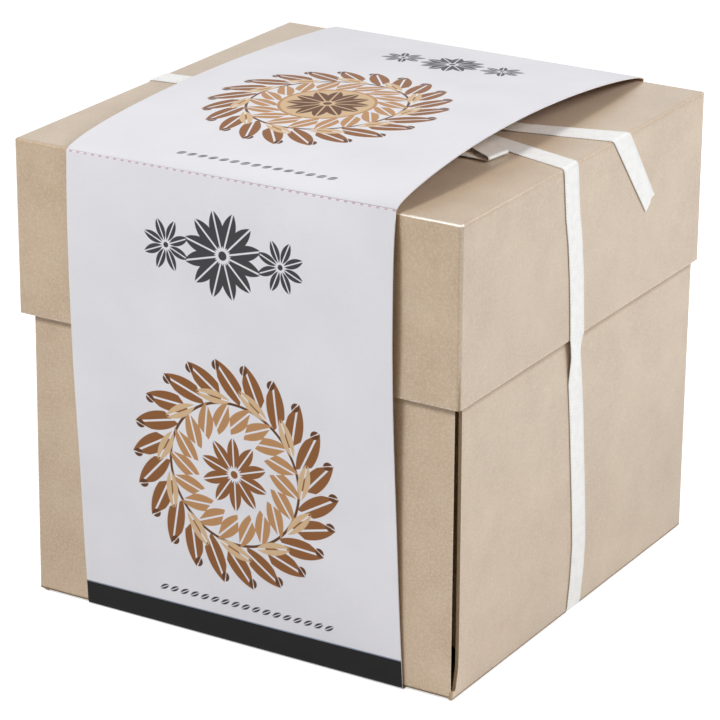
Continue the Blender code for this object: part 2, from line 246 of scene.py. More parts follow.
boxKraft = kraftMaterial("kraftBoardCalendered", "box")
innerKraft = kraftMaterial("kraftBoardInnerUncoated", "inner")
cardKraft = kraftMaterial("kraftCardUncoated", "card")
boardEdge = cutEdgeMaterial("kraftBoardGuillotineCut", "C3AD8F", "A48C6C")
cardEdge = cutEdgeMaterial("kraftCardDieCut", "9E7E59", "7E5E3D")
# What a sheet shows outside, inside and at its cut edge
wallBoard = [boxKraft, innerKraft, boardEdge]
innerCard = [innerKraft, innerKraft, cardEdge]
looseCard = [cardKraft, cardKraft, cardEdge]
print("board materials made")


# The sleeve's print: each motif is a mask worked out from the place on the sheet in mm, with a soft edge
inks = {
    "paper": "E8E7EB",
    "paperShade": "DAD9DF",
    "edge": "F4F4F4",
    "reverse": "D6AF82",
    "reverseShade": "C89F72",
    "black": "100F10",
    "bandLine": "8E97AA",
    "dark": "3E3D40",
    "brown": "8A5A33",
    "kraft": "B98B5F",
    "light": "D3B48E",
    "deep": "5E3B22",
    "dash": "CDAFBB",
}
printShape = {"topCrease": 120.0, "soft": 0.06, "rib": 0.09, "ribEdge": 0.1, "dash": 0.4}


def lengthOf(tree, across, along):
    # sqrt(across^2 + along^2)
    spot = addNode(tree, "CombineXYZ", across, along)
    return addNode(tree, "VectorMath", spot, operation="LENGTH", out="Value")


def leafMask(tree, across, along, tilt, halfLength, halfWidth):
    # A pointed leaf, the overlap of two circles: inside
    # where sqrt((|a| + d)^2 + b^2) < r, with a bare midrib
    radius = (halfLength ** 2 + halfWidth ** 2) / (2 * halfWidth)
    turned = []
    for first, second, sign in ((across, along, -1), (along, across, 1)):
        part = addNode(tree, "Math", first, math.cos(tilt), operation="MULTIPLY")
        other = addNode(tree, "Math", second, sign * math.sin(tilt), operation="MULTIPLY")
        turned.append(addNode(tree, "Math", part, other, operation="ADD"))
    side = addNode(tree, "Math", turned[0], operation="ABSOLUTE")
    pushed = addNode(tree, "Math", side, radius - halfWidth, operation="ADD")
    reach = lengthOf(tree, pushed, turned[1])
    soft, rib = printShape["soft"], halfWidth * printShape["rib"]
    inside = addNode(tree, "MapRange", reach, radius - soft, radius + soft, 1.0, 0.0)
    bare = addNode(tree, "MapRange", side, rib, rib + printShape["ribEdge"], 0.0, 1.0)
    return addNode(tree, "Math", inside, bare, operation="MULTIPLY")


def shiftedPlace(tree, x, y, middle):
    # The place less the motif's middle
    dx = addNode(tree, "Math", x, middle[0], operation="SUBTRACT")
    dy = addNode(tree, "Math", y, middle[1], operation="SUBTRACT")
    return dx, dy


def ring(tree, x, y, at, radius, count, tilt, leaf, phase=0.0):
    # Leaves of (half length, half width), turned by a tilt in degrees, at equal angles on a circle: the
    # angle is cut into count sectors, and one leaf is drawn in each
    dx, dy = shiftedPlace(tree, x, y, at)
    angle = addNode(tree, "Math", dy, dx, operation="ARCTAN2")
    sector = 2 * math.pi / count
    turns = addNode(tree, "Math", angle, 1 / sector, phase, operation="MULTIPLY_ADD")
    number = addNode(tree, "Math", turns, operation="FLOOR")
    part = addNode(tree, "Math", turns, number, operation="SUBTRACT")
    local = addNode(tree, "Math", part, sector, -sector / 2, operation="MULTIPLY_ADD")
    reach = lengthOf(tree, dx, dy)
    sine = addNode(tree, "Math", local, operation="SINE")
    cosine = addNode(tree, "Math", local, operation="COSINE")
    across = addNode(tree, "Math", reach, sine, operation="MULTIPLY")
    along = addNode(tree, "Math", reach, cosine, operation="MULTIPLY")
    along = addNode(tree, "Math", along, radius, operation="SUBTRACT")
    return leafMask(tree, across, along, math.radians(tilt), *leaf)


def row(tree, x, y, at, step, count, tilt, leaf):
    # The same leaves at equal steps along a line, count of them about its middle
    dx, dy = shiftedPlace(tree, x, y, at)
    steps = addNode(tree, "Math", dx, 1 / step, operation="MULTIPLY")
    number = addNode(tree, "Math", steps, operation="ROUND")
    part = addNode(tree, "Math", steps, number, operation="SUBTRACT")
    across = addNode(tree, "Math", part, step, operation="MULTIPLY")
    mask = leafMask(tree, across, dy, math.radians(tilt), *leaf)
    side = addNode(tree, "Math", number, operation="ABSOLUTE")
    inRow = addNode(tree, "Math", side, count / 2, operation="LESS_THAN")
    return addNode(tree, "Math", mask, inRow, operation="MULTIPLY")


def disc(tree, x, y, at, radius, hole=-0.2):
    # A disc, with a hole where its radius is above 0: inside where hole < distance from the middle < radius
    reach = lengthOf(tree, *shiftedPlace(tree, x, y, at))
    soft = printShape["soft"]
    outer = addNode(tree, "MapRange", reach, radius - soft, radius + soft, 1.0, 0.0)
    inner = addNode(tree, "MapRange", reach, hole - soft, hole + soft, 0.0, 1.0)
    return addNode(tree, "Math", outer, inner, operation="MULTIPLY")


def band(tree, x, y, middle, half, step=None):
    # A straight band across the sheet, of half its width to
    # either side, broken into dashes where it has a step
    inside = addNode(tree, "Math", y, middle, half, operation="COMPARE")
    if step is None:
        return inside
    steps = addNode(tree, "Math", x, 1 / step, operation="MULTIPLY")
    part = addNode(tree, "Math", steps, operation="FRACT")
    dash = addNode(tree, "Math", part, printShape["dash"], operation="LESS_THAN")
    return addNode(tree, "Math", inside, dash, operation="MULTIPLY")


# Coated paper, offset printed: even, smooth and slightly satin, where inks have crisp edges and no relief.
# A motif is its ink, the function that draws it and what that function takes
def printMaterial(name, motifs):
    made, tree, shader = startMaterial(name, Roughness=0.45, Specular_IOR_Level=0.16)
    sheet = addNode(tree, "UVMap", uv_map="sheet")
    parts = addNode(tree, "SeparateXYZ", sheet)
    x, y = parts, parts.node.outputs[1]
    place = mmCoords(tree)
    cloud = addNode(tree, "TexNoise", place, at={"Scale": 0.04, "Detail": 2.0})
    tooth = addNode(tree, "TexNoise", place, at={"Scale": 2.6, "Detail": 3.0})
    mottle = addNode(tree, "Math", tooth, 0.5, cloud, operation="MULTIPLY_ADD")
    shade = addNode(tree, "MapRange", mottle, 0.5, 1.0, 0.0, 0.6)
    colour = paintOver(tree, toLinear(inks["paper"]), shade, inks["paperShade"])
    for ink, draw, *shape in motifs:
        colour = paintOver(tree, colour, draw(tree, x, y, *shape), inks[ink])
    finishSurface(tree, shader, colour, tooth, reliefMm=0.02, strength=0.25)
    return made


def rosette(ink, at, size, count=8):
    # A flower of upright leaves round a dot
    return [
        (ink, ring, at, size * 0.56, count, 0, (size * 0.42, size * 0.17)),
        (ink, disc, at, size * 0.1),
    ]


def wreath(at, radius, size):
    # Three rings of leaves and one of buds on a thin stem.
    # The outer leaves lean one way, the inner the other
    return [
        ("deep", disc, at, radius + 0.35, radius - 0.35),
        ("brown", ring, at, radius + size * 0.62, 22, 38, (size * 0.9, size * 0.3)),
        ("kraft", ring, at, radius - size * 0.5, 18, -40, (size * 0.72, size * 0.26), 0.4),
        ("light", ring, at, radius + size * 0.2, 11, 70, (size * 0.62, size * 0.2), 0.3),
        ("deep", ring, at, radius + size * 1.15, 22, 0, (size * 0.16, size * 0.13), 0.5),
    ]


sheetBands = [
    ("bandLine", band, 6.55, 0.16),
    ("black", band, -1.6, 8.0),
    ("dash", band, 119.8, 0.18, 2.15),
]
frontPrint = (
    wreath((0.5, 45), 18.5, 8.4)
    + rosette("brown", (0.5, 45), 10, 10)
    + rosette("dark", (-0.8, 101), 11.5, 12)
    + rosette("dark", (-17.0, 101), 7.0)
    + rosette("dark", (15.4, 101), 7.0)
    + [("dark", row, (2.0, 10.3), 3.0, 17, 62, (1.6, 0.62))]
    + sheetBands
)
topPrint = (
    wreath((-2.5, -14), 20, 8.2)
    + [("kraft", disc, (-2.5, -14), 12.4), ("light", disc, (-2.5, -14), 11.6)]
    + rosette("deep", (-2.5, -14), 11, 12)
    + rosette("dark", (4.0, 37), 9.0, 12)
    + rosette("dark", (-10.5, 37), 6.2)
    + rosette("dark", (18.5, 37), 6.2)
    + [("dark", row, (4.0, -56.5), 3.0, 15, 62, (1.45, 0.58))]
)
backPrint = [
    ("dark", row, (0.0, 60.0), 3.4, 13, 62, (1.5, 0.5)),
    ("kraft", row, (0.0, 64.0), 6.8, 7, 0, (1.7, 0.7)),
] + sheetBands
frontPaper = printMaterial("coatedPaperOffsetFront", frontPrint)
topPaper = printMaterial("coatedPaperOffsetTop", topPrint)
backPaper = printMaterial("coatedPaperOffsetBack", backPrint)
footPrint = [("black", band, -62.4, 0.9), ("black", band, 62.4, 0.9)]
footPaper = printMaterial("coatedPaperOffsetFoot", footPrint)


# Bare paper fibre, without the coating: matt and a little cloudy
def barePaperMaterial(name, light, dark):
    made, tree, shader = startMaterial(name, Roughness=0.8, Specular_IOR_Level=0.3)
    fuzz = addNode(tree, "TexNoise", mmCoords(tree), at={"Scale": 4.0, "Detail": 2.0})
    shade = addNode(tree, "MapRange", fuzz, 0.3, 0.7, 0.0, 1.0)
    colour = paintOver(tree, toLinear(light), shade, dark)
    tree.links.new(colour, shader.inputs["Base Color"])
    return made


# The knife leaves a white edge, and the sheet's reverse is of brown recycled fibre, as on cheap carton
paperEdge = barePaperMaterial("paperKnifeCut", inks["edge"], inks["paperShade"])
paperReverse = barePaperMaterial("recycledPaperReverse", inks["reverse"], inks["reverseShade"])


# Polyester satin, woven: long floats give a soft sheen
# along the ribbon, and the selvedge shows small stitches
satinLooks = {
    "white": "F8F8F6", "shade": "DADBDC", "stitchMm": 0.9, "threadMm": 0.22, "selvedge": 0.8,
    "stitchDepth": 0.6, "cloudDepth": 0.35, "stitchRelief": 3.0,
}


def satinMaterial():
    made, tree, shader = startMaterial(
        "polyesterSatinWoven", Roughness=0.38, Specular_IOR_Level=0.5, Sheen_Weight=0.25,
        Sheen_Roughness=0.4,
    )
    strip = addNode(tree, "UVMap", uv_map="sheet")
    parts = addNode(tree, "SeparateXYZ", strip)
    run, across = parts, parts.node.outputs[1]
    side = addNode(tree, "Math", across, operation="ABSOLUTE")
    edge = satinLooks["selvedge"]
    selvedge = addNode(tree, "MapRange", side, edge, edge + 0.05, 0.0, 1.0)
    # Stitches: a sine along the ribbon, shown only in the selvedge
    wave = addNode(tree, "Math", run, 2 * math.pi / satinLooks["stitchMm"], operation="MULTIPLY")
    wave = addNode(tree, "Math", wave, operation="SINE")
    stitch = addNode(tree, "Math", wave, selvedge, operation="MULTIPLY")
    # Weft: fine threads across the whole width
    weft = addNode(tree, "Math", run, 2 * math.pi / satinLooks["threadMm"], operation="MULTIPLY")
    weft = addNode(tree, "Math", weft, operation="SINE")
    silk = addNode(tree, "TexNoise", mmCoords(tree), at={"Scale": 0.5, "Detail": 2.0})
    dim = addNode(tree, "MapRange", stitch, 0.1, 0.9, 0.0, satinLooks["stitchDepth"])
    soft = addNode(tree, "MapRange", silk, 0.4, 0.8, 0.0, satinLooks["cloudDepth"])
    dim = addNode(tree, "Math", dim, soft, operation="MAXIMUM")
    colour = paintOver(tree, toLinear(satinLooks["white"]), dim, satinLooks["shade"])
    relief = addNode(tree, "Math", stitch, satinLooks["stitchRelief"], weft, operation="MULTIPLY_ADD")
    finishSurface(tree, shader, colour, relief, reliefMm=0.03, strength=0.4)
    return made


satin = satinMaterial()
print("paper and satin materials made")


def gridFaces(rows, columns, closed=False):
    # Quads of a grid numbered row by row, each from (i, j) to (i + 1, j), (i + 1, j + 1) and (i, j + 1)
    i, j = np.meshgrid(np.arange(rows if closed else rows - 1), np.arange(columns - 1), indexing="ij")
    here = i * columns + j
    there = (i + 1) % rows * columns + j
    return np.stack([here, there, there + 1, here + 1], -1).reshape(-1, 4)


def volumeOf(points, quads):
    # Sum of the tetrahedra between each face and the first
    # point, which is positive where faces look outward
    p = points[quads] - points[0]
    first = np.einsum("ij,ij->i", p[:, 0], np.cross(p[:, 1], p[:, 2]))
    second = np.einsum("ij,ij->i", p[:, 0], np.cross(p[:, 2], p[:, 3]))
    return (first + second).sum() / 6


def putMesh(name, points, quads, materials, faceMaterial, uv=None, marks=None, sharp=38.0):
    # Points in mm and quads become a mesh in metres, with its faces outward and its doubled points merged
    if volumeOf(points, quads) < 0:
        quads = quads[:, ::-1]
    mesh = bpy.data.meshes.new(name)
    mesh.from_pydata((points * mm).tolist(), [], quads.tolist())
    for material in materials:
        mesh.materials.append(material)
    mesh.polygons.foreach_set("material_index", faceMaterial.astype(np.int32))
    for mark, values in (marks or {}).items():
        mesh.attributes.new(mark, "FLOAT", "POINT").data.foreach_set("value", values.astype(np.float32))
    if uv is not None:
        corners = np.zeros(len(mesh.loops), np.int32)
        mesh.loops.foreach_get("vertex_index", corners)
        layer = mesh.uv_layers.new(name="sheet")
        layer.data.foreach_set("uv", uv[corners].astype(np.float32).ravel())
    shell = bmesh.new()
    shell.from_mesh(mesh)
    bmesh.ops.remove_doubles(shell, verts=shell.verts, dist=1e-6)
    bmesh.ops.dissolve_degenerate(shell, edges=shell.edges, dist=1e-7)
    shell.to_mesh(mesh)
    shell.free()
    mesh.shade_smooth()
    mesh.set_sharp_from_angle(angle=math.radians(sharp))
    piece = bpy.data.objects.new(name, mesh)
    bpy.context.collection.objects.link(piece)
    return piece


def normalsOf(grid):
    # Unit normals of a grid of points, from the cross product of its two directions
    cross = np.cross(np.gradient(grid, axis=0), np.gradient(grid, axis=1))
    return cross / np.maximum(np.linalg.norm(cross, axis=-1, keepdims=True), 1e-12)


def makeSlab(name, outer, inner, materials, uv=None, marks=None, closed=False, sharp=38.0):
    # Two grids of one shape, joined along their borders into a closed shell. Faces: outer, inner, then the
    # rims. A closed grid is a ring in its first direction and starts at a single point in its second
    rows, columns = outer.shape[:2]
    count = rows * columns
    skin = gridFaces(rows, columns, closed)
    i = np.arange(rows if closed else rows - 1)
    here, there = i * columns, (i + 1) % rows * columns
    last = columns - 1
    rims = [] if closed else [np.stack([there, here, here + count, there + count], -1)]
    rims.append(np.stack([here + last, there + last, there + last + count, here + last + count], -1))
    if not closed:
        j = np.arange(columns - 1)
        end = (rows - 1) * columns + j
        rims += [
            np.stack([j, j + 1, j + 1 + count, j + count], -1),
            np.stack([end + 1, end, end + count, end + 1 + count], -1),
        ]
    rims = np.concatenate(rims)
    quads = np.concatenate([skin, skin[:, ::-1] + count, rims])
    shares = np.repeat([0, 1, 2], [len(skin), len(skin), len(rims)])
    points = np.concatenate([outer.reshape(-1, 3), inner.reshape(-1, 3)])
    if uv is not None:
        uv = np.concatenate([uv.reshape(-1, 2)] * 2)
    bothMarks = {}
    for mark, values in (marks or {}).items():
        bothMarks[mark] = np.tile(np.broadcast_to(values, (rows, columns)).ravel(), 2)
    return putMesh(name, points, quads, materials, shares, uv, bothMarks, sharp)


def settle(piece, body, slotName, *stoodFor):
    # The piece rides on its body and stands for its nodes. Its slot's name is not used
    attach(piece, body)
    if stoodFor:
        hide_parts(*stoodFor)


# The four sides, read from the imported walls
rightLow, rightHigh = boxOf("right_wall")
leftLow = boxOf("left_wall")[0]
innerWallLow, innerWallHigh = boxOf("right_inner_wall")
boardMm = rightHigh[0] - rightLow[0]
cardMm = innerWallHigh[0] - innerWallLow[0]
baseLow = rightLow[2]
wallTop = rightHigh[2]
halfX = (rightHigh[0] - leftLow[0]) / 2
halfY = (rightHigh[1] - rightLow[1]) / 2
baseMiddle = np.array([(rightHigh[0] + leftLow[0]) / 2, (rightHigh[1] + rightLow[1]) / 2, 0.0])
# Each side's outward normal, its direction along the wall and how far out it stands
sides = {
    "front": (np.array([0.0, -1, 0]), np.array([1.0, 0, 0]), halfY),
    "back": (np.array([0.0, 1, 0]), np.array([-1.0, 0, 0]), halfY),
    "right": (np.array([1.0, 0, 0]), np.array([0.0, 1, 0]), halfX),
    "left": (np.array([-1.0, 0, 0]), np.array([0.0, -1, 0]), halfX),
}
up = np.array([0.0, 0, 1])


def onSide(side, along, out, z):
    # Places on one side: along the wall, out from the base's middle, and up
    normal, direction, _ = sides[side]
    along, out, z = np.broadcast_arrays(along, out, z)
    return baseMiddle + along[..., None] * direction + out[..., None] * normal + z[..., None] * up


def spaced(low, high, count, edge=0.9):
    # Even stations with one more close to each end, so that wear at an edge has points to sit on
    body = np.linspace(low + edge, high - edge, count)
    return np.concatenate([[low, low + edge * 0.4], body, [high - edge * 0.4, high]])


def nearEdge(values, low, high, width=0.5):
    # 1 at either end of the range, falling to 0 a width away
    gap = np.minimum(values - low, high - values)
    return np.clip(1 - gap / width, 0, 1)


# The outer walls, cut at the corners, and the lid that sits over them
lidLow, lidHigh = boxOf("lid_shell")
rimZ = lidLow[2]
wallShape = {
    "lap": 0.6, "tuck": 0.35, "cornerGap": 0.05, "leftGap": 0.2, "slit": 2.6, "slitTop": 1.8,
    "slitFoot": 0.02, "slant": 1.17, "flare": 1.06, "lean": 0.7, "leanHeight": 0.65, "bulge": 0.16,
    "crease": 1.2, "rounding": 0.55, "sagFront": 0.8, "sagSide": 1.0,
    "endWear": 0.4, "topWear": 0.8, "rimShadow": 0.3,
}


def wallEnds(side, height):
    # How far each end of a wall stops short of its corner, in mm, by height. The
    # front runs to the right corner and past the left one, most at its foot, and the
    # back stands between the sides. The right wall leaves a slot at its front end,
    # slit * (1 - exp(-h / foot)) - (slit - top slit) * h^2, which closes at the foot
    tucked = boardMm + wallShape["tuck"] + 0 * height
    if side == "front":
        return wallShape["slant"] * height - wallShape["flare"], wallShape["lap"] + 0 * height
    if side == "back":
        return tucked, tucked
    if side == "left":
        return 0 * height, tucked
    slot = wallShape["slit"] * (1 - np.exp(-height / wallShape["slitFoot"]))
    slot = slot - (wallShape["slit"] - wallShape["slitTop"]) * height ** 2
    return slot, -wallShape["lean"] * np.clip(height / wallShape["leanHeight"], 0, 1) ** 2


def makeWall(side):
    # The panel bows out by a few hundredths: out = reach + bulge * sin(pi h) * sin(pi u)
    reach = sides[side][2]
    half = halfX if side in ("front", "back") else halfY
    rise = spaced(baseLow + wallShape["crease"], wallTop, 24, 0.6)
    # Extra rows about the rim carry the painted shadow under it
    aboutRim = rimZ + np.array([-3.0, -2.2, -1.6, -1.1, -0.4, 1.0])
    rise = np.unique(np.concatenate([rise, aboutRim]))
    u, z = np.meshgrid(spaced(0.0, 1.0, 22, 0.006), rise, indexing="ij")
    height = (z - baseLow) / (wallTop - baseLow)
    first, last = wallEnds(side, height)
    low, high = first - half, half - last
    out = reach + wallShape["bulge"] * np.sin(np.pi * height) * np.sin(np.pi * u)
    along = low + (high - low) * u
    # The ends and the top are rubbed, and a faint line of painted shadow lies just under the lid's rim
    endWear = wallShape["endWear"] * nearEdge(along, low, high)
    wear = np.maximum(endWear, wallShape["topWear"] * nearEdge(z, -np.inf, wallTop))
    line = wallShape["rimShadow"] * np.interp(z - rimZ, [-2.2, -1.3, -0.4, 1.0], [0, 1, 1, 0])
    # The front's ends are cut at a slant
    slant = boardMm * (side == "front")
    outer = onSide(side, along, out, z)
    inner = onSide(side, along + slant * (1 - 2 * u), out - boardMm, z)
    piece = makeSlab(side + "WallPanel", outer, inner, wallBoard, marks={"wear": wear, "shadeAndScuff": line})
    settle(piece, side + "_wall_panel", "kraft_board", side + "_wall")


foldLooks = {"wear": 0.5, "wearMm": 1.1, "shade": 0.95, "shadeMm": 0.35}


def makeCrease(name, corner, intoA, intoB, axis, span, thickness, reach, rounding, materials,
               drop=0.0):
    # A fold's own strip: a rounded L, (a, b), carried along the fold as corner + a * A + b * B + t * axis.
    # The outside turns on a small radius about (r, r), the inside on what is left of it. A drop makes the
    # second leg longer
    corner, intoA, intoB, axis = (np.array(v, float) for v in (corner, intoA, intoB, axis))
    turn = np.linspace(0, np.pi / 2, 7)
    tight = max(rounding - thickness, 0.06)
    middle = thickness + tight
    farEnd = reach + drop
    pastTurn = min(rounding + 0.3, (rounding + farEnd) / 2)
    a = np.concatenate([[reach], rounding - rounding * np.sin(turn), [0.0, 0.0]])
    b = np.concatenate([[0.0], rounding - rounding * np.cos(turn), [pastTurn, farEnd]])
    innerA = np.concatenate([[reach], middle - tight * np.sin(turn), [thickness, thickness]])
    innerB = np.concatenate([[thickness], middle - tight * np.cos(turn), [(middle + farEnd) / 2, farEnd]])
    t = np.linspace(*span, 24)[None, :, None]
    outer, inner = (
        corner + legA[:, None, None] * intoA + legB[:, None, None] * intoB + t * axis
        for legA, legB in ((a, b), (innerA, innerB))
    )
    # The fold is a little rubbed, and where it turns under, shade is painted on it
    wear = foldLooks["wear"] * np.clip(1.15 - np.hypot(a, b) / foldLooks["wearMm"], 0, 1)
    shade = foldLooks["shade"] * np.clip(2.3 - b / foldLooks["shadeMm"], 0, 1)
    marks = {"wear": wear[:, None], "shadeAndScuff": shade[:, None]}
    piece = makeSlab(name, outer, inner, materials, marks=marks, sharp=60.0)
    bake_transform(piece)


for side, (normal, direction, reach) in sides.items():
    makeWall(side)
    low, high = -halfY, halfY - wallShape["leftGap"] * (side == "left")
    if side in ("front", "back"):
        high = halfX - boardMm - wallShape["cornerGap"]
        low = -halfX - wallShape["flare"] if side == "front" else -high
    # The folds sag below the base, down to the ribbon and the sleeve that lie under it
    sag = wallShape["sagFront"] if side in ("front", "back") else wallShape["sagSide"]
    corner = baseMiddle + normal * reach + up * (baseLow - sag)
    makeCrease(
        side + "FootCrease", corner, -normal, up, direction, (low, high),
        boardMm, wallShape["crease"], wallShape["rounding"], wallBoard, sag,
    )
print("outer walls made")


# The lid and the small box, as rounded square tubes
def squareTube(profileHalf, profileRadius, profileZ, bow, middle, sideCount=15, cornerCount=6):
    # Each ring is (half - radius) * q + radius * d: q runs round a unit square
    # and stays at its corners, while d is the side's outward direction and
    # swings a quarter turn at each corner. The sides bow in by bow * (1 - q^2)
    run = spaced(-1.0, 1.0, sideCount, 0.014)
    swing = np.linspace(0, np.pi / 2, cornerCount)[1:-1]
    q, d, corner, shadeAndScuff = [], [], [], []
    for quarter in range(4):
        angle = quarter * np.pi / 2
        c, s = round(math.cos(angle)), round(math.sin(angle))
        turn = np.array([[c, -s], [s, c]])
        q.append(np.stack([np.ones_like(run), run], -1) @ turn.T)
        d.append(np.tile([1.0, 0.0], (len(run), 1)) @ turn.T)
        q.append(np.ones((len(swing), 2)) @ turn.T)
        d.append(np.stack([np.cos(swing), np.sin(swing)], -1) @ turn.T)
        corner.append(np.concatenate([np.zeros(len(run)), np.sin(2 * swing) ** 2]))
        # The last point of each side's run marks where painted shade runs down the upright corner
        shadeAndScuff.append(np.concatenate([np.zeros(len(run) - 1), [1.0], np.zeros(len(swing))]))
    q, d = np.concatenate(q), np.concatenate(d)
    corner, shadeAndScuff = np.concatenate(corner), np.concatenate(shadeAndScuff)
    inward = (1 - np.clip(np.abs(q).min(1), 0, 1) ** 2)[:, None, None] * d[:, None, :]
    half, radius = np.array(profileHalf), np.array(profileRadius)
    flat = q[:, None, :] * (half - radius)[None, :, None] + d[:, None, :] * radius[None, :, None]
    flat = flat - inward * np.array(bow)[None, :, None]
    z = np.broadcast_to(np.array(profileZ)[None, :, None], flat.shape[:2] + (1,))
    return np.concatenate([flat, z], -1) + np.array(middle), corner, shadeAndScuff


def skirtBow(share):
    # A skirt bows in below its fold, most at four fifths of the way down: sin(0.62 pi * share)
    return np.sin(np.pi * 0.62 * share)


boxWearGlintAndShade = {"frontEdgeGlint": 1.7, "fold": 0.3, "upright": 0.45, "shadeAndScuff": 0.12, "scuff": 0.4}


def openBox(name, half, closedZ, openZ, wall, middle, materials, radius, bow, sag):
    # A lid or a box: 21 rings go from the middle of the flat end, five on the
    # flat, six round the fold and ten down the skirt to its rim. The flat
    # dips by sag * (1 - (h / half)^2). The inside lies one board further in
    sense = 1 if closedZ > openZ else -1
    arc = np.linspace(0, np.pi / 2, 6)
    flatShare = np.array([0.0, 0.3, 0.6, 0.9, 0.99])
    skirt = np.linspace(closedZ - sense * (radius + 1.0), openZ + sense * 0.6, 9)

    def profile(reach, turn, top):
        # Each ring's half width, corner radius and height
        flat = reach - turn
        h = np.concatenate([flatShare * flat, flat + turn * np.sin(arc), np.full(10, reach)])
        z = np.concatenate([np.full(5, top), top - sense * turn * (1 - np.cos(arc)), skirt, [openZ]])
        r = np.concatenate([np.full(5, 0.02), np.linspace(0.05, 1, 6) * turn, np.full(10, turn)])
        return h, np.minimum(r, h), z

    h, r, z = profile(half, radius, closedZ)
    dip = sense * np.concatenate([sag * (1 - (h[:5] / half) ** 2), np.zeros(16)])
    down = np.clip((sense * (closedZ - z) - radius) / abs(closedZ - openZ), 0, 1)
    bowIn = bow * skirtBow(down)
    outer, corner, shadeAndScuff = squareTube(h, r, z - dip, bowIn, middle)
    inH, inR, inZ = profile(half - wall, max(radius - wall, 0.08), closedZ - sense * wall)
    inner, _, _ = squareTube(inH, inR, inZ - dip, bowIn, middle)
    # The fold is rubbed along its outermost line, and each upright corner along its own. At the front's
    # right end the fold is painted with a bright highlight.
    # A line of painted shade runs down each upright corner, and a scuffed spot darkens a corner's foot
    level = np.arange(21)
    fold = np.interp(level, [5, 6, 7, 8, 9, 10, 18, 19, 20], [0, 0.25, 0.6, 0.6, 0.25, 0, 0, 0.2, 1.3])
    upright = corner[:, None] * (level >= 8)
    scuff = corner[:, None] * np.clip((level - 17) / 2, 0, 1)
    frontEdgeGlint = (outer[..., 1] < -half + 1.2) & (outer[..., 0] > half * 0.73) & (down < 0.5)
    fold = fold * np.where(frontEdgeGlint, boxWearGlintAndShade["frontEdgeGlint"], boxWearGlintAndShade["fold"])
    wear = np.maximum(fold, boxWearGlintAndShade["upright"] * upright) * (1 - scuff)
    shadeAndScuff = np.maximum(boxWearGlintAndShade["shadeAndScuff"] * shadeAndScuff[:, None] * (level >= 8), boxWearGlintAndShade["scuff"] * scuff)
    marks = {"wear": wear, "shadeAndScuff": shadeAndScuff}
    return makeSlab(name, outer, inner, materials, marks=marks, closed=True, sharp=50.0)


lidShape = {"radius": 0.75, "bow": 0.22, "sag": 0.25}
lid = openBox("lidShell", lidHigh[0], lidHigh[2], rimZ, boardMm, (0, 0, 0), wallBoard, **lidShape)
settle(lid, "lid", "kraft_board", "lid_shell")
print("lid made")


smallBoxShape = {"radius": 0.55, "bow": 0.15, "sag": 0.0}
smallLidShape = {"radius": 0.55, "bow": 0.0, "sag": 0.15}
giftLow, giftHigh = boxOf("gift_body")
coverLow, coverHigh = boxOf("gift_lid")
giftMiddle = (*((giftLow + giftHigh)[:2] / 2), 0.0)
giftHalf, coverHalf = (giftHigh[0] - giftLow[0]) / 2, (coverHigh[0] - coverLow[0]) / 2
body = openBox(
    "smallBoxBody", giftHalf, giftLow[2], giftHigh[2], cardMm, giftMiddle, innerCard, **smallBoxShape
)
settle(body, "base", "kraft_board", "gift_body")
cover = openBox(
    "smallBoxLid", coverHalf, coverHigh[2], coverLow[2], cardMm, giftMiddle, innerCard, **smallLidShape
)
settle(cover, "small_box_lid", "kraft_board", "gift_lid")
print("small box made")


# Inner walls with their petals, pockets and cards
innerShape = {"creaseOver": 0.3, "rounding": 0.4, "pocketGap": 0.3, "wear": 0.7}
petalShape = {
    "radius": 24.4, "lobeIn": 22.0, "rise": 5.5, "root": 0.9, "cup": 0.35, "cupIn": 46.0, "cupUp": 86.0,
    "wear": 0.7,
}
pocketShape = {
    "top": {"corner": 4.0, "notch": 11.0, "drop": 2.0}, "fold": 0.7, "sheet": 0.5,
    "wear": 0.7, "foldWear": 0.5,
}
cardShape = {"top": {"corner": 6.0, "notch": 9.0, "drop": 2.0}, "wear": 0.8}
lobeHeight = petalShape["rise"] + petalShape["lobeIn"] + petalShape["radius"] * math.sqrt(2)
innerLow = boxOf("inner_floor")[0][2]
innerCrease = cardMm + innerShape["creaseOver"]


def boxOnSide(side, node):
    # A node's box as its side has it: half its width, its middle along the wall, its nearest and farthest
    # place out, and its foot and top
    normal, direction, _ = sides[side]
    low, high = boxOf(node)
    half = abs((high - low) @ direction) / 2
    shift = ((low + high) / 2 - baseMiddle) @ direction
    near, far = sorted(abs((corner - baseMiddle) @ normal) for corner in (low, high))
    return half, shift, near, far, low[2], high[2]


def rimWear(grid, value):
    # Wear along the grid's last column, where the sheet is cut
    wear = np.zeros(grid.shape[:2])
    wear[:, -1] = value
    return wear


def arcOf(middle, radius, start, stop, count):
    # middle + radius * (cos t, sin t)
    t = np.linspace(start, stop, count)
    return np.stack([middle[0] + radius * np.cos(t), middle[1] + radius * np.sin(t)], -1)


def notchedTop(half, height, corner, notch, drop):
    # The top edge from right to left: a rounded corner, an
    # arc bitten out at the middle, and a rounded corner
    dip = math.asin(drop / notch)
    return np.concatenate([
        arcOf((half - corner, height - corner), corner, 0, math.pi / 2, 9),
        arcOf((0, height + drop), notch, -dip, dip - math.pi, 25),
        arcOf((corner - half, height - corner), corner, math.pi / 2, math.pi, 9),
    ])


def ruled(low, high, count):
    # A ruled sheet between two edges of equal length: (1 - t) * low + t * high
    t = np.linspace(0, 1, count)[None, :, None]
    return low[:, None, :] * (1 - t) + high[:, None, :] * t


def petalOutline():
    # Half a heart, (inward, height): the 45 degree edge up to the lobe, then round it back to the fold
    radius, root = petalShape["radius"], petalShape["root"]
    stop = math.acos((root - petalShape["lobeIn"]) / radius)
    lobe = arcOf((petalShape["lobeIn"], lobeHeight), radius, -math.pi / 4, stop, 46)
    foot = np.array([[root, petalShape["rise"] + root]])
    share = np.linspace(0, 1, 14)[:-1, None]
    return np.concatenate([foot * (1 - share) + lobe[:1] * share, lobe])


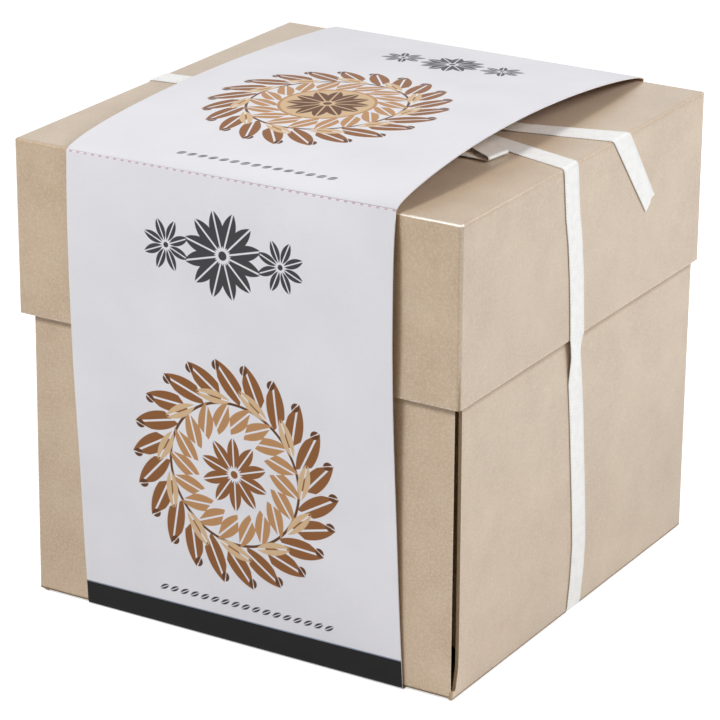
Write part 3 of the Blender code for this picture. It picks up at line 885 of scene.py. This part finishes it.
def makePetal(side, end, reach, plane):
    # Ruled between the fold and the outline, and cupped by
    # cup * sin(pi * inward / cupIn) * sin(pi * height / cupUp)
    normal, direction, _ = sides[side]
    facing = "back" if end * direction[1] > 0 else "front"
    node = f"{side}_{facing}_petal"
    name = f"{side}{facing.title()}Petal"
    outline = petalOutline()
    foot, stop = outline[0, 1], outline[-1, 1]
    count = len(outline)
    fold = np.stack([np.full(count, petalShape["root"]), np.linspace(foot, stop, count)], -1)
    inward, height = np.moveaxis(ruled(fold, outline, 12), -1, 0)
    cup = petalShape["cup"]
    for values, span in ((inward, petalShape["cupIn"]), (height, petalShape["cupUp"])):
        cup = cup * np.sin(np.pi * np.clip(values / span, 0, 1))
    outer = onSide(side, end * (plane - cup), reach - inward, innerLow + height)
    inner = onSide(side, end * (plane - cardMm - cup), reach - inward, innerLow + height)
    piece = makeSlab(name, outer, inner, innerCard, marks={"wear": rimWear(outer, petalShape["wear"])})
    settle(piece, node + "_flap", "kraft_board", node)
    span = (innerLow + foot, innerLow + stop)
    makeCrease(
        name + "Crease",
        baseMiddle + normal * reach + direction * end * plane, -direction * end, -normal, up, span, cardMm,
        petalShape["root"], innerShape["rounding"], innerCard,
    )
    return span


def makePocket(side, face):
    # A folded card pocket: a U-shaped line in plan, from the wall out along a flange, across the front and
    # back, carried up from the foot to a top edge with a thumb notch
    half, _, near, far, foot, stop = boxOnSide(side, side + "_pocket")
    depth = far - near
    top = notchedTop(half, stop - foot, **pocketShape["top"])
    fold, sheetMm = pocketShape["fold"], pocketShape["sheet"]
    deep = np.array([0.0, (depth - fold) * 0.5, depth - fold])

    def plan(inset):
        # Flange, folded corner, front, folded corner, flange, as (along, out from the wall)
        turn = np.linspace(0, np.pi / 2, 5)
        r = max(fold - inset, 0.1)
        edge = half - inset
        bend = np.stack([edge - r + r * np.cos(turn), depth - inset - r + r * np.sin(turn)], -1)
        flange = np.stack([np.full(3, edge), deep], -1)
        front = np.stack([top[1:-1, 0] * (edge - r) / half, np.full(len(top) - 2, depth - inset)], -1)
        return np.concatenate([flange, bend, front, bend[::-1] * (-1, 1), flange[::-1] * (-1, 1)])

    heights = np.pad(top[1:-1, 1], 8, constant_values=top[0, 1])
    z = foot + heights[:, None] * np.linspace(0, 1, 6)
    outer, inner = (
        onSide(side, line[:, :1], face - line[:, 1:], z) for line in (plan(0.0), plan(sheetMm))
    )
    wear = rimWear(outer, pocketShape["wear"])
    for corner in (slice(3, 8), slice(-8, -3)):
        wear[corner] = np.maximum(wear[corner], pocketShape["foldWear"])
    piece = makeSlab(side + "PocketFront", outer, inner, looseCard, marks={"wear": wear}, sharp=55.0)
    settle(piece, side + "_inner_panel", "kraft_card", side + "_pocket")
    # Its foot, a flat strip that closes the bottom between the two flanges
    across = np.linspace(-half + sheetMm, half - sheetMm, 12)
    u, out = np.meshgrid(across, np.linspace(0.05, depth - sheetMm - 0.02, 3), indexing="ij")
    under, over = (onSide(side, u, face - out, foot + lift) for lift in (0.0, sheetMm))
    settle(makeSlab(side + "PocketFoot", under, over, looseCard), side + "_inner_panel", "kraft_card")


def makeCard(side, index):
    # A loose flat card, ruled from its foot to a notched top
    node = f"{side}_card_{index}"
    half, shift, near, far, foot, stop = boxOnSide(side, node)
    top = notchedTop(half, stop - foot, **cardShape["top"])
    along, height = np.moveaxis(ruled(top * (1, 0), top, 8), -1, 0)
    outer, inner = (onSide(side, shift + along, out, foot + height) for out in (far, near))
    wear = rimWear(outer, cardShape["wear"])
    piece = makeSlab(f"{side}Card{index}", outer, inner, looseCard, marks={"wear": wear})
    settle(piece, side + "_cards", "kraft_card", node)


def makeInnerSide(side):
    # A flat wall over its fold, with its pocket, its cards and, on the left and right, two petals
    normal, direction, _ = sides[side]
    half, _, _, reach, _, top = boxOnSide(side, side + "_inner_wall")
    rise = spaced(innerLow + innerCrease, top, 20, 0.6)
    inset = np.zeros(len(rise))
    if side in ("left", "right"):
        # The wall draws back by the fold's own strip over the height of the petals
        for end in (-1, 1):
            start, stop = makePetal(side, end, reach, half)
        rise = np.sort(np.concatenate([rise, [start - 0.01, start, stop, stop + 0.01]]))
        inset = np.where((rise > start - 0.005) & (rise < stop + 0.005), petalShape["root"], 0.0)
    u, z = np.meshgrid(spaced(-1.0, 1.0, 14, 0.01), rise, indexing="ij")
    outer, inner = (onSide(side, u * (half - inset), out, z) for out in (reach, reach - cardMm))
    wear = innerShape["wear"] * nearEdge(z, -np.inf, top)
    piece = makeSlab(side + "InnerPanel", outer, inner, innerCard, marks={"wear": wear})
    settle(piece, side + "_inner_panel", "kraft_board", side + "_inner_wall")
    makeCrease(
        side + "InnerCrease", baseMiddle + normal * reach + up * innerLow,
        -normal, up, direction, (-half, half), cardMm, innerCrease, innerShape["rounding"], innerCard,
    )
    makePocket(side, reach - cardMm - innerShape["pocketGap"])
    for index in (1, 2, 3):
        makeCard(side, index)


for side in sides:
    makeInnerSide(side)
for name, kraft in (("base_floor", boxKraft), ("inner_floor", innerKraft)):
    nodes[name].data.materials.clear()
    nodes[name].data.materials.append(kraft)
print("inner walls, petals, pockets and cards made")


# The paper sleeve. The bows are tables of mm off the lid's face, down the left edge and down the right edge
sleeveShape = {
    "width": 92.0, "shift": -0.45, "paper": 0.3, "archLeft": 3.7, "archRight": 6.8,
    "archLean": 0.85, "archRound": 0.7, "topGap": 0.35,
    "dropLeft": 0.75, "dropRight": -0.35, "dropMm": 8.0, "skew": 0.85,
    "sideGap": 0.33, "foot": 0.42, "footIn": 0.1, "footOut": 0.2,
    "fallShares": (0.0, 0.067, 0.15, 0.267, 0.375, 0.49, 0.68, 0.82, 0.92, 1.0),
    "drift": (0.0, 0.0, 0.0, 0.0, 0.0, 0.05, 0.64, 1.12, 1.65, 2.2),
    "bows": {
        "front": (
            (0.0, 0.3, 0.45, 0.3, -0.1, -0.6, -1.35, -1.5, -1.5, -1.45),
            (0.3, 1.3, 1.55, 1.6, 1.2, 0.5, -0.3, -0.7, -0.95, -1.1),
        ),
        "back": (
            (0.0, 0.5, 0.7, 0.4, 0.0, -0.5, -1.0, -1.2, -1.3, -1.3),
            (0.0, 0.6, 0.8, 0.6, 0.2, -0.3, -0.8, -1.1, -1.2, -1.3),
        ),
    },
}
lidTop = lidHigh[2] + sleeveShape["paper"]
sleeveFace = lidHigh[0] + sleeveShape["paper"]


def archRise(share):
    # sin(pi * share^lean)^round, from 0 at the front crease over the crest to 0 at the back
    leaning = np.clip(share, 0, 1) ** sleeveShape["archLean"]
    return np.sin(np.pi * leaning).clip(0) ** sleeveShape["archRound"]


def creaseDrop(u):
    # The front crease lies a little below the lid's top at the left and above it at the right
    return sleeveShape["dropLeft"] * (1 - u) + sleeveShape["dropRight"] * u


def facesAt(u, row, standOff=0.0):
    # How far out the front and back sheets stand, at one row of their tables and across the sheet
    return (
        sleeveFace + standOff + left[row] * (1 - u) + right[row] * u
        for left, right in sleeveShape["bows"].values()
    )


def sleeveSheet(name, x, y, z, uv, outward, paper, side):
    # A sheet from its outside's places: the inside lies one thickness in along the normals
    outer = np.stack([x, y, z], -1)
    normal = normalsOf(outer)
    normal *= np.sign((normal @ outward).mean())
    inner = outer - normal * sleeveShape["paper"]
    piece = makeSlab(name, outer, inner, [paper, paperReverse, paperEdge], uv=uv, sharp=60.0)
    settle(piece, f"sleeve_{side}_panel", "printed_paper", "sleeve_" + side)


def makeSleeveTop():
    # z = top + arch(share) * height(u) - drop(u) * exp(-d / 8), with d the distance from the front crease.
    # Towards the back the sheet runs a little to the left, by skew * share^2
    along = 0.5 - 0.5 * np.cos(np.pi * np.linspace(0, 1, 110))
    u, share = np.meshgrid(np.linspace(0, 1, 34), along, indexing="ij")
    x = (u - 0.5) * sleeveShape["width"]
    front, back = facesAt(u, 0)
    y = (front + back) * share - front
    height = sleeveShape["archLeft"] * (1 - u) + sleeveShape["archRight"] * u
    drop = creaseDrop(u) * np.exp(-(y + front) / sleeveShape["dropMm"])
    z = lidTop + sleeveShape["topGap"] + archRise(share) * height - drop
    skew = sleeveShape["shift"] - sleeveShape["skew"] * share ** 2
    sleeveSheet("sleeveTop", x + skew, y, z, np.stack([x, y], -1), (0, 0, 1), topPaper, "top")


def fallen(values, share):
    # A table of mm along the sheet's fall, read at the given shares and blurred by a bell curve
    stepMm, blurMm, reach = 0.24, 3, 30
    fine = np.linspace(-0.1, 1.1, 600)
    bell = np.exp(-0.5 * (np.arange(-reach, reach + 1) * stepMm / blurMm) ** 2)
    path = np.pad(np.interp(fine, sleeveShape["fallShares"], values), reach, "edge")
    return np.interp(share, fine, np.convolve(path, bell / bell.sum(), "valid"))


def makeSleeveSide(side, sense, material):
    # out(x, z) = face + left bow * (1 - u) + right bow * u, with u across the sheet, from the top crease to
    # the foot. It stands off the lid, draws in to the wall below the rim and drifts to the right there
    share = np.concatenate([
        np.linspace(0, 0.0025, 6)[:-1], np.linspace(0.0025, 0.5, 90)[:-1], np.linspace(0.5, 1, 60),
    ])
    u = np.linspace(0, 1, 32)[:, None]
    top = lidTop + sleeveShape["sideGap"] - creaseDrop(u) * (side == "front")
    z = top - (top - sleeveShape["foot"]) * share
    skew = sleeveShape["skew"] * (side == "back") * (1 - share)
    shift = sleeveShape["shift"] + fallen(sleeveShape["drift"], share) - skew
    left, right = (fallen(bow, share) for bow in sleeveShape["bows"][side])
    flatX = (u - 0.5) * sleeveShape["width"] + 0 * z
    # The crease turns on a radius of one sheet's thickness, and the last of the foot is drawn in a little
    paper = sleeveShape["paper"]
    into = np.clip(paper - (top - z), 0, paper)
    out = sleeveFace + left * (1 - u) + right * u + np.sqrt(paper ** 2 - into ** 2)
    out = out - sleeveShape["footIn"] * np.clip(share * 160 - 159, 0, 1)
    uv = np.stack([-sense * flatX, z - top + printShape["topCrease"]], -1)
    sleeveSheet("sleeve" + side.title(), flatX + shift, sense * out, z, uv, (0, sense, 0), material, side)


def makeSleeveFoot():
    # A flat sheet under the box that turns up at its front and back to meet the sheets standing there
    u = np.linspace(0, 1, 24)[:, None]
    front, back = facesAt(u, -1, sleeveShape["footOut"])
    edgeIn, lift = np.array([0.0, 0.15, 0.4, 5.0]), np.array([0.1, 0.03, 0.0, 0.0])
    y = np.concatenate([edgeIn - front, 0 * u, back - edgeIn[::-1]], 1)
    x = (u - 0.5) * sleeveShape["width"] + sleeveShape["shift"] + sleeveShape["drift"][-1] + 0 * y
    z = np.concatenate([lift, [0.0], lift[::-1]]) + 0 * y
    outer = np.stack([x, y, z], -1)
    inner = outer + (0, 0, sleeveShape["paper"])
    materials = [footPaper, paperReverse, paperEdge]
    piece = makeSlab("sleeveFoot", outer, inner, materials, uv=np.stack([x, y], -1))
    settle(piece, "sleeve_bottom_panel", "printed_paper", "sleeve_bottom")


makeSleeveTop()
makeSleeveSide("front", -1, frontPaper)
makeSleeveSide("back", 1, backPaper)
makeSleeveFoot()
print("sleeve made")


# The satin ribbon. Its route is a list of stations (x, y, z), each
# with the band's width as a vector where that isn't straight across
ribbonShape = {
    "width": 7.0, "thick": 0.16, "selvedge": 0.05, "selvedgeFrom": 0.82, "step": 0.35, "standOff": 0.12,
    "offTop": 0.03, "offFace": 0.06, "offWall": 0.05, "under": 0.24, "inSag": 0.95,
}
acrossY = (0.0, ribbonShape["width"], 0.0)
acrossX = (ribbonShape["width"], 0.0, 0.0)


def runOf(path):
    # Length along a path up to each of its points
    steps = np.linalg.norm(np.diff(path[:, :3], axis=0), axis=1)
    return np.concatenate([[0], np.cumsum(steps)])


def softPath(stations, softness):
    # Stations of place and width vector, sampled evenly along the line and blurred by a bell curve of the
    # given softness in mm, so that each corner turns on a small radius. The two ends stay where they are
    stations = np.array([(*station, *acrossY)[:6] for station in stations], float)
    length = runOf(stations)
    run = np.linspace(0, length[-1], max(int(length[-1] / ribbonShape["step"]), 12))
    path = np.stack([np.interp(run, length, column) for column in stations.T], -1)
    reach = int(3 * softness / ribbonShape["step"]) + 1
    bell = np.exp(-0.5 * (np.arange(-reach, reach + 1) * ribbonShape["step"] / softness) ** 2)
    ahead = 2 * path[0] - path[reach:0:-1]
    behind = 2 * path[-1] - path[-2:-reach - 2:-1]
    padded = np.concatenate([ahead, path, behind])
    return np.stack([np.convolve(column, bell / bell.sum(), mode="valid") for column in padded.T], -1)


def makeRibbon(name, stations, body, node, sense=1, softness=0.45, cut=None):
    # The band: path(s) + across(s) * a + normal(s) * thickness(a), where a runs from -1 to 1 between the
    # woven edges, which stand a little thicker. A cut end is shorter by cut(a) mm
    path = softPath(stations, softness)
    length = runOf(path)
    a = np.array([-1, -0.96, -0.88, -0.82, -0.6, -0.3, 0, 0.3, 0.6, 0.82, 0.88, 0.96, 1])
    full = length[-1] - (0 * a if cut is None else cut(a))
    s = np.linspace(0, 1, len(path))[:, None] * full
    normal = np.cross(np.gradient(path[:, :3], axis=0), path[:, 3:])
    normal *= sense / np.linalg.norm(normal, axis=1, keepdims=True)
    table = np.concatenate([path, normal], 1)
    at = np.stack([np.interp(s, length, column) for column in table.T], -1)
    edge = np.clip((np.abs(a) - ribbonShape["selvedgeFrom"]) / 0.06, 0, 1) * (np.abs(a) < 0.99)
    thick = ribbonShape["thick"] + ribbonShape["selvedge"] * edge
    flat = at[..., :3] + at[..., 3:6] * (a / 2)[:, None]
    outer, inner = (
        flat + at[..., 6:] * (ribbonShape["standOff"] + half)[:, None] for half in (thick / 2, -thick / 2)
    )
    uv = np.stack([s, np.broadcast_to(a, s.shape)], -1)
    piece = makeSlab(name, outer, inner, [satin, satin, satin], uv=uv, sharp=70.0)
    settle(piece, body, "satin_ribbon", node)


knotX, knotY = 17.97, 3.99
ribbonTop = lidHigh[2] + ribbonShape["offTop"]
lidFace = lidHigh[0] + ribbonShape["offFace"]
underZ, sagZ = ribbonShape["under"], ribbonShape["inSag"]


def topAt(x):
    # The ribbon lies on the lid's top, which sags towards its middle: sag * (1 - (x / half)^2)
    return ribbonTop - lidShape["sag"] * (1 - (x / lidHigh[0]) ** 2)


def lidOut(depth):
    # The lid's side bows in below its fold, and the ribbon lies on it
    share = np.clip((depth - lidShape["radius"]) / (lidHigh[2] - rimZ), 0, 1)
    return lidFace - lidShape["bow"] * skirtBow(share)


def wallOut(z):
    # The wall bows out by bulge * sin(pi h)
    height = np.clip((z - baseLow) / (wallTop - baseLow), 0, 1)
    return rightHigh[0] + ribbonShape["offWall"] + wallShape["bulge"] * np.sin(np.pi * height)


# Each run is a list of (mm below the top or the rim, y)
rimOut, footOut, leftOut = lidOut(lidHigh[2] - rimZ), wallOut(0), leftLow[0]
lidRun = [(0, -10.5), (13, -8.6), (20, -7.0), (29, -5.7), (37, -5.0), (ribbonTop - rimZ - 0.9, -4.6)]
wallRun = [(12, -3.2), (22, -1.9), (33, -0.8), (45, 0.5), (57, 1.5), (66, 0.9)]
makeRibbon("ribbonLidRight", [
    (knotX + 3, knotY - 1.2, topAt(21)),
    (knotX + 5, knotY - 2.6, topAt(23)),
    *[(lidOut(depth), y, ribbonTop - depth) for depth, y in lidRun],
    (rimOut, -4.55, rimZ - 0.1),
], "lid", "ribbon_lid_right")
makeRibbon("ribbonLidLeft", [
    (-rimOut, -0.9, rimZ - 0.1),
    (-rimOut, -0.9, rimZ + 0.7),
    (-lidOut(22), -0.9, ribbonTop - 22),
    (-lidFace, -0.9, ribbonTop),
    (-47.0, 1.5, topAt(47)),
    (knotX - 4.0, knotY, topAt(14)),
], "lid", "ribbon_lid_left")
makeRibbon("ribbonWallRight", [
    (rimOut, -4.55, rimZ - 0.1),
    (rimOut - 0.3, -4.2, rimZ - 1.6, -0.4, 6.6, 0),
    (wallOut(rimZ) + 0.3, -3.8, rimZ - 5, -0.8, 6.1, 0),
    *[(wallOut(rimZ - depth), y, rimZ - depth) for depth, y in wallRun],
    (footOut, -0.4, sagZ),
    (footOut - 0.05, -0.45, 0.45),
    (footOut - 0.6, -0.5, underZ),
], "right_wall_panel", "ribbon_wall_right", softness=0.7)
makeRibbon("ribbonWallLeft", [
    (leftOut + 0.45, 0.5, underZ),
    (leftOut - 0.05, 0.5, 0.45),
    (leftOut - 0.1, 0.5, sagZ),
    (-rimOut + 0.3, -0.9, rimZ - 1.6),
    (-rimOut, -0.9, rimZ - 0.1),
], "left_wall_panel", "ribbon_wall_left", softness=0.4)
makeRibbon("ribbonUnder", [
    (leftOut + 0.4, 0.5, underZ),
    (leftOut + 1.8, 0.5, underZ),
    (leftOut + 4.5, 0.5, sagZ),
    (rightHigh[0] - 4.5, -0.5, sagZ),
    (rightHigh[0] - 1.8, -0.5, underZ),
    (rightHigh[0] - 0.4, -0.5, underZ),
], "base", "ribbon_under", sense=-1, softness=0.2)


def tailCut(a, slant=0.3, nick=0.9, nickAt=0.45, nickHalf=0.4):
    # A cut nearly square to the band, slant * (1 + a), with a small nick a little nearer the high side
    return slant * (1 + a) + nick * np.clip(1 - np.abs(a - nickAt) / nickHalf, 0, 1)


makeRibbon("ribbonTailRight", [
    (knotX + 3.0, knotY + 1.6, ribbonTop + 0.7),
    (knotX + 6.0, knotY + 2.8, ribbonTop + 0.7),
    (38.0, 10.1, topAt(38)),
    (lidFace, 15.9, ribbonTop, 0.0, 8.7, 0.0),
    (lidFace - 0.12, 33.0, ribbonTop - 21.8, 0.0, 4.8, 2.9),
], "lid", "ribbon_tail_right", cut=tailCut)
makeRibbon("ribbonTailHidden", [
    (-6.0, -23.0, ribbonTop, *acrossX),
    (8.0, -12.0, ribbonTop, *acrossX),
    (15.0, -2.0, ribbonTop + 0.7, *acrossX),
    (17.0, 1.5, ribbonTop + 0.8, *acrossX),
], "lid", "ribbon_tail_hidden", sense=-1, softness=1.2)


loopLift = {"root": 0.5, "sink": 0.3, "turn": 0.1, "end": 1.0}


def makeLoop(name, node, origin, tip, foldAcross, back, rise):
    # From the knot out along the lid to the tip, round a small turn, and back above itself to the knot. The
    # band's width swings from square to its run to the fold's own line. The lower strand comes in by way of
    # a point of its own, so that the two strands fan apart
    origin, tip, back = (np.array(v, float) for v in (origin, tip, back))
    width = ribbonShape["width"]
    ahead = (tip - origin) / np.linalg.norm(tip - origin)
    square = np.array([-ahead[1], ahead[0]]) * width
    lower = tip - back
    lower = np.array([-lower[1], lower[0]]) / np.linalg.norm(lower) * width
    bend = back * 2 - tip * 0.2 - origin * 0.8
    root, turn = ribbonTop + loopLift["root"], ribbonTop + loopLift["turn"]
    stations = [(*origin, root, *square, 0)]
    for share in (0.25, 0.5, 0.75, 1.0):
        place = origin * (1 - share) ** 2 + bend * share * (1 - share) + back * share ** 2
        across = square * (1 - share) + lower * share
        stations.append((*place, root - loopLift["sink"] * share, *across, 0))
    for angle in np.linspace(-np.pi / 2, np.pi / 2, 9):
        place = tip + ahead * (rise / 2) * (np.cos(angle) - 1)
        stations.append((*place, turn + rise / 2 * (1 + np.sin(angle)), *foldAcross, 0))
    stations.append((*(tip * 0.6 + origin * 0.4), turn + rise * 0.95, *square, 0))
    stations.append((*origin, ribbonTop + loopLift["end"], *square, 0))
    makeRibbon(name, stations, "lid", node, softness=0.3)


makeLoop(
    "ribbonLoopFront", "ribbon_loop_front", (21.6, 0.6), (45.4, -14.7), (1.1, 7.7), (31.0, -14.6), 1.15
)
makeLoop(
    "ribbonLoopBack", "ribbon_loop_back", (14.4, 7.2), (-13.6, 20.4), (-3.0, -6.6), (-6.0, 18.0), 1.5
)


knotShape = {
    "fill": 0.92, "roundX": 0.7, "roundZ": 0.8, "roundEnds": 0.45, "pleat": 0.05, "pleatTurns": 5,
}


def makeKnot():
    # A pillow wrapped by the band: a superellipse in each direction, x and z by powers of cos t and sin t,
    # both narrowed by cos(p)^roundEnds along y = sin p, with pleats across its top
    low, high = boxOf("ribbon_knot")
    middle, half = (low + high) / 2, (high - low) / 2
    about, over = np.linspace(0, 2 * np.pi, 49)[:-1], np.linspace(-np.pi / 2, np.pi / 2, 25)
    t, p = np.meshgrid(about, over, indexing="ij")

    def bulge(value, power):
        # The value's size to a power, with its sign
        return np.sign(value) * np.abs(value) ** power

    narrow = np.abs(np.cos(p)) ** knotShape["roundEnds"]
    pleats = np.cos(knotShape["pleatTurns"] * np.pi * np.sin(p)) * (np.sin(t) > 0)
    narrow = narrow * (1 - knotShape["pleat"] * pleats)
    x = middle[0] + half[0] * knotShape["fill"] * bulge(np.cos(t), knotShape["roundX"]) * narrow
    y = middle[1] + half[1] * np.sin(p)
    z = middle[2] + half[2] * bulge(np.sin(t), knotShape["roundZ"]) * narrow
    points = np.stack([x, y, z], -1).reshape(-1, 3)
    quads = gridFaces(*t.shape, closed=True)
    uv = np.stack([t * 4, np.sin(p)], -1).reshape(-1, 2)
    piece = putMesh("ribbonKnot", points, quads, [satin], np.zeros(len(quads)), uv=uv, sharp=80.0)
    settle(piece, "lid", "satin_ribbon", "ribbon_knot")


makeKnot()
print("ribbon made")


# Floor, light and background
studio = {
    "floorMm": 9000.0, "floorDown": 0.02, "floor": "F2F2F2", "glow": 0.6, "sky": 0.2, "aim": (0, 0, 60),
    "lamps": {
        "keyFront": {"place": (-178, -520, 690), "size": 170, "watts": 4.15},
        "rightBack": {"place": (590, 380, 520), "size": 320, "watts": 4.2},
    },
}


def seenBy(tree, first, *others):
    # 1 for the kinds of ray that are named, else 0
    rays = tree.nodes.new("ShaderNodeLightPath").outputs
    share = rays[first]
    for kind in others:
        share = addNode(tree, "Math", share, rays[kind], operation="MAXIMUM")
    return share


def makeStage():
    # A flat square of matt paper just under the part, which glows a little where the camera sees it
    half = studio["floorMm"] / 2
    u, v = np.meshgrid(np.linspace(-half, half, 5), np.linspace(-half, half, 5), indexing="ij")
    mesh = bpy.data.meshes.new("floor")
    points = np.stack([u, v, 0 * u - studio["floorDown"]], -1).reshape(-1, 3) * mm
    mesh.from_pydata(points.tolist(), [], gridFaces(5, 5).tolist())
    made, tree, shader = startMaterial("floorPaperMatt", Roughness=0.9, Specular_IOR_Level=0.0)
    shader.inputs["Base Color"].default_value = toLinear(studio["floor"])
    seen = seenBy(tree, "Is Camera Ray", "Is Glossy Ray")
    glow = addNode(tree, "Math", seen, studio["glow"], operation="MULTIPLY")
    shader.inputs["Emission Color"].default_value = (1, 1, 1, 1)
    tree.links.new(glow, shader.inputs["Emission Strength"])
    mesh.materials.append(made)
    floor = bpy.data.objects.new("floor", mesh)
    bpy.context.collection.objects.link(floor)


def makeWorld():
    # White where the camera looks, and dimmer as a light
    world = bpy.data.worlds.new("studio")
    bpy.context.scene.world = world
    world.use_nodes = True
    tree = world.node_tree
    seen = seenBy(tree, "Is Camera Ray", "Is Glossy Ray", "Is Transmission Ray")
    strength = addNode(tree, "MapRange", seen, 0.0, 1.0, studio["sky"], 1.0)
    sky = tree.nodes["Background"]
    sky.inputs["Color"].default_value = (1, 1, 1, 1)
    tree.links.new(strength, sky.inputs["Strength"])


def makeLamp(name, lamp):
    # A square lamp turned to the aim: its backward axis runs from the aim to its place
    data = bpy.data.lights.new(name, "AREA")
    data.shape = "SQUARE"
    data.size = lamp["size"] * mm
    data.energy = lamp["watts"]
    back = np.subtract(lamp["place"], studio["aim"]).astype(float)
    back /= np.linalg.norm(back)
    right = np.cross((0, 0, 1), back)
    right /= np.linalg.norm(right)
    standAt(data, right, np.cross(back, right), back, lamp["place"])


makeStage()
makeWorld()
for name, lamp in studio["lamps"].items():
    makeLamp(name, lamp)
bpy.context.scene.view_settings.view_transform = "Standard"
print("stage and lamps made")
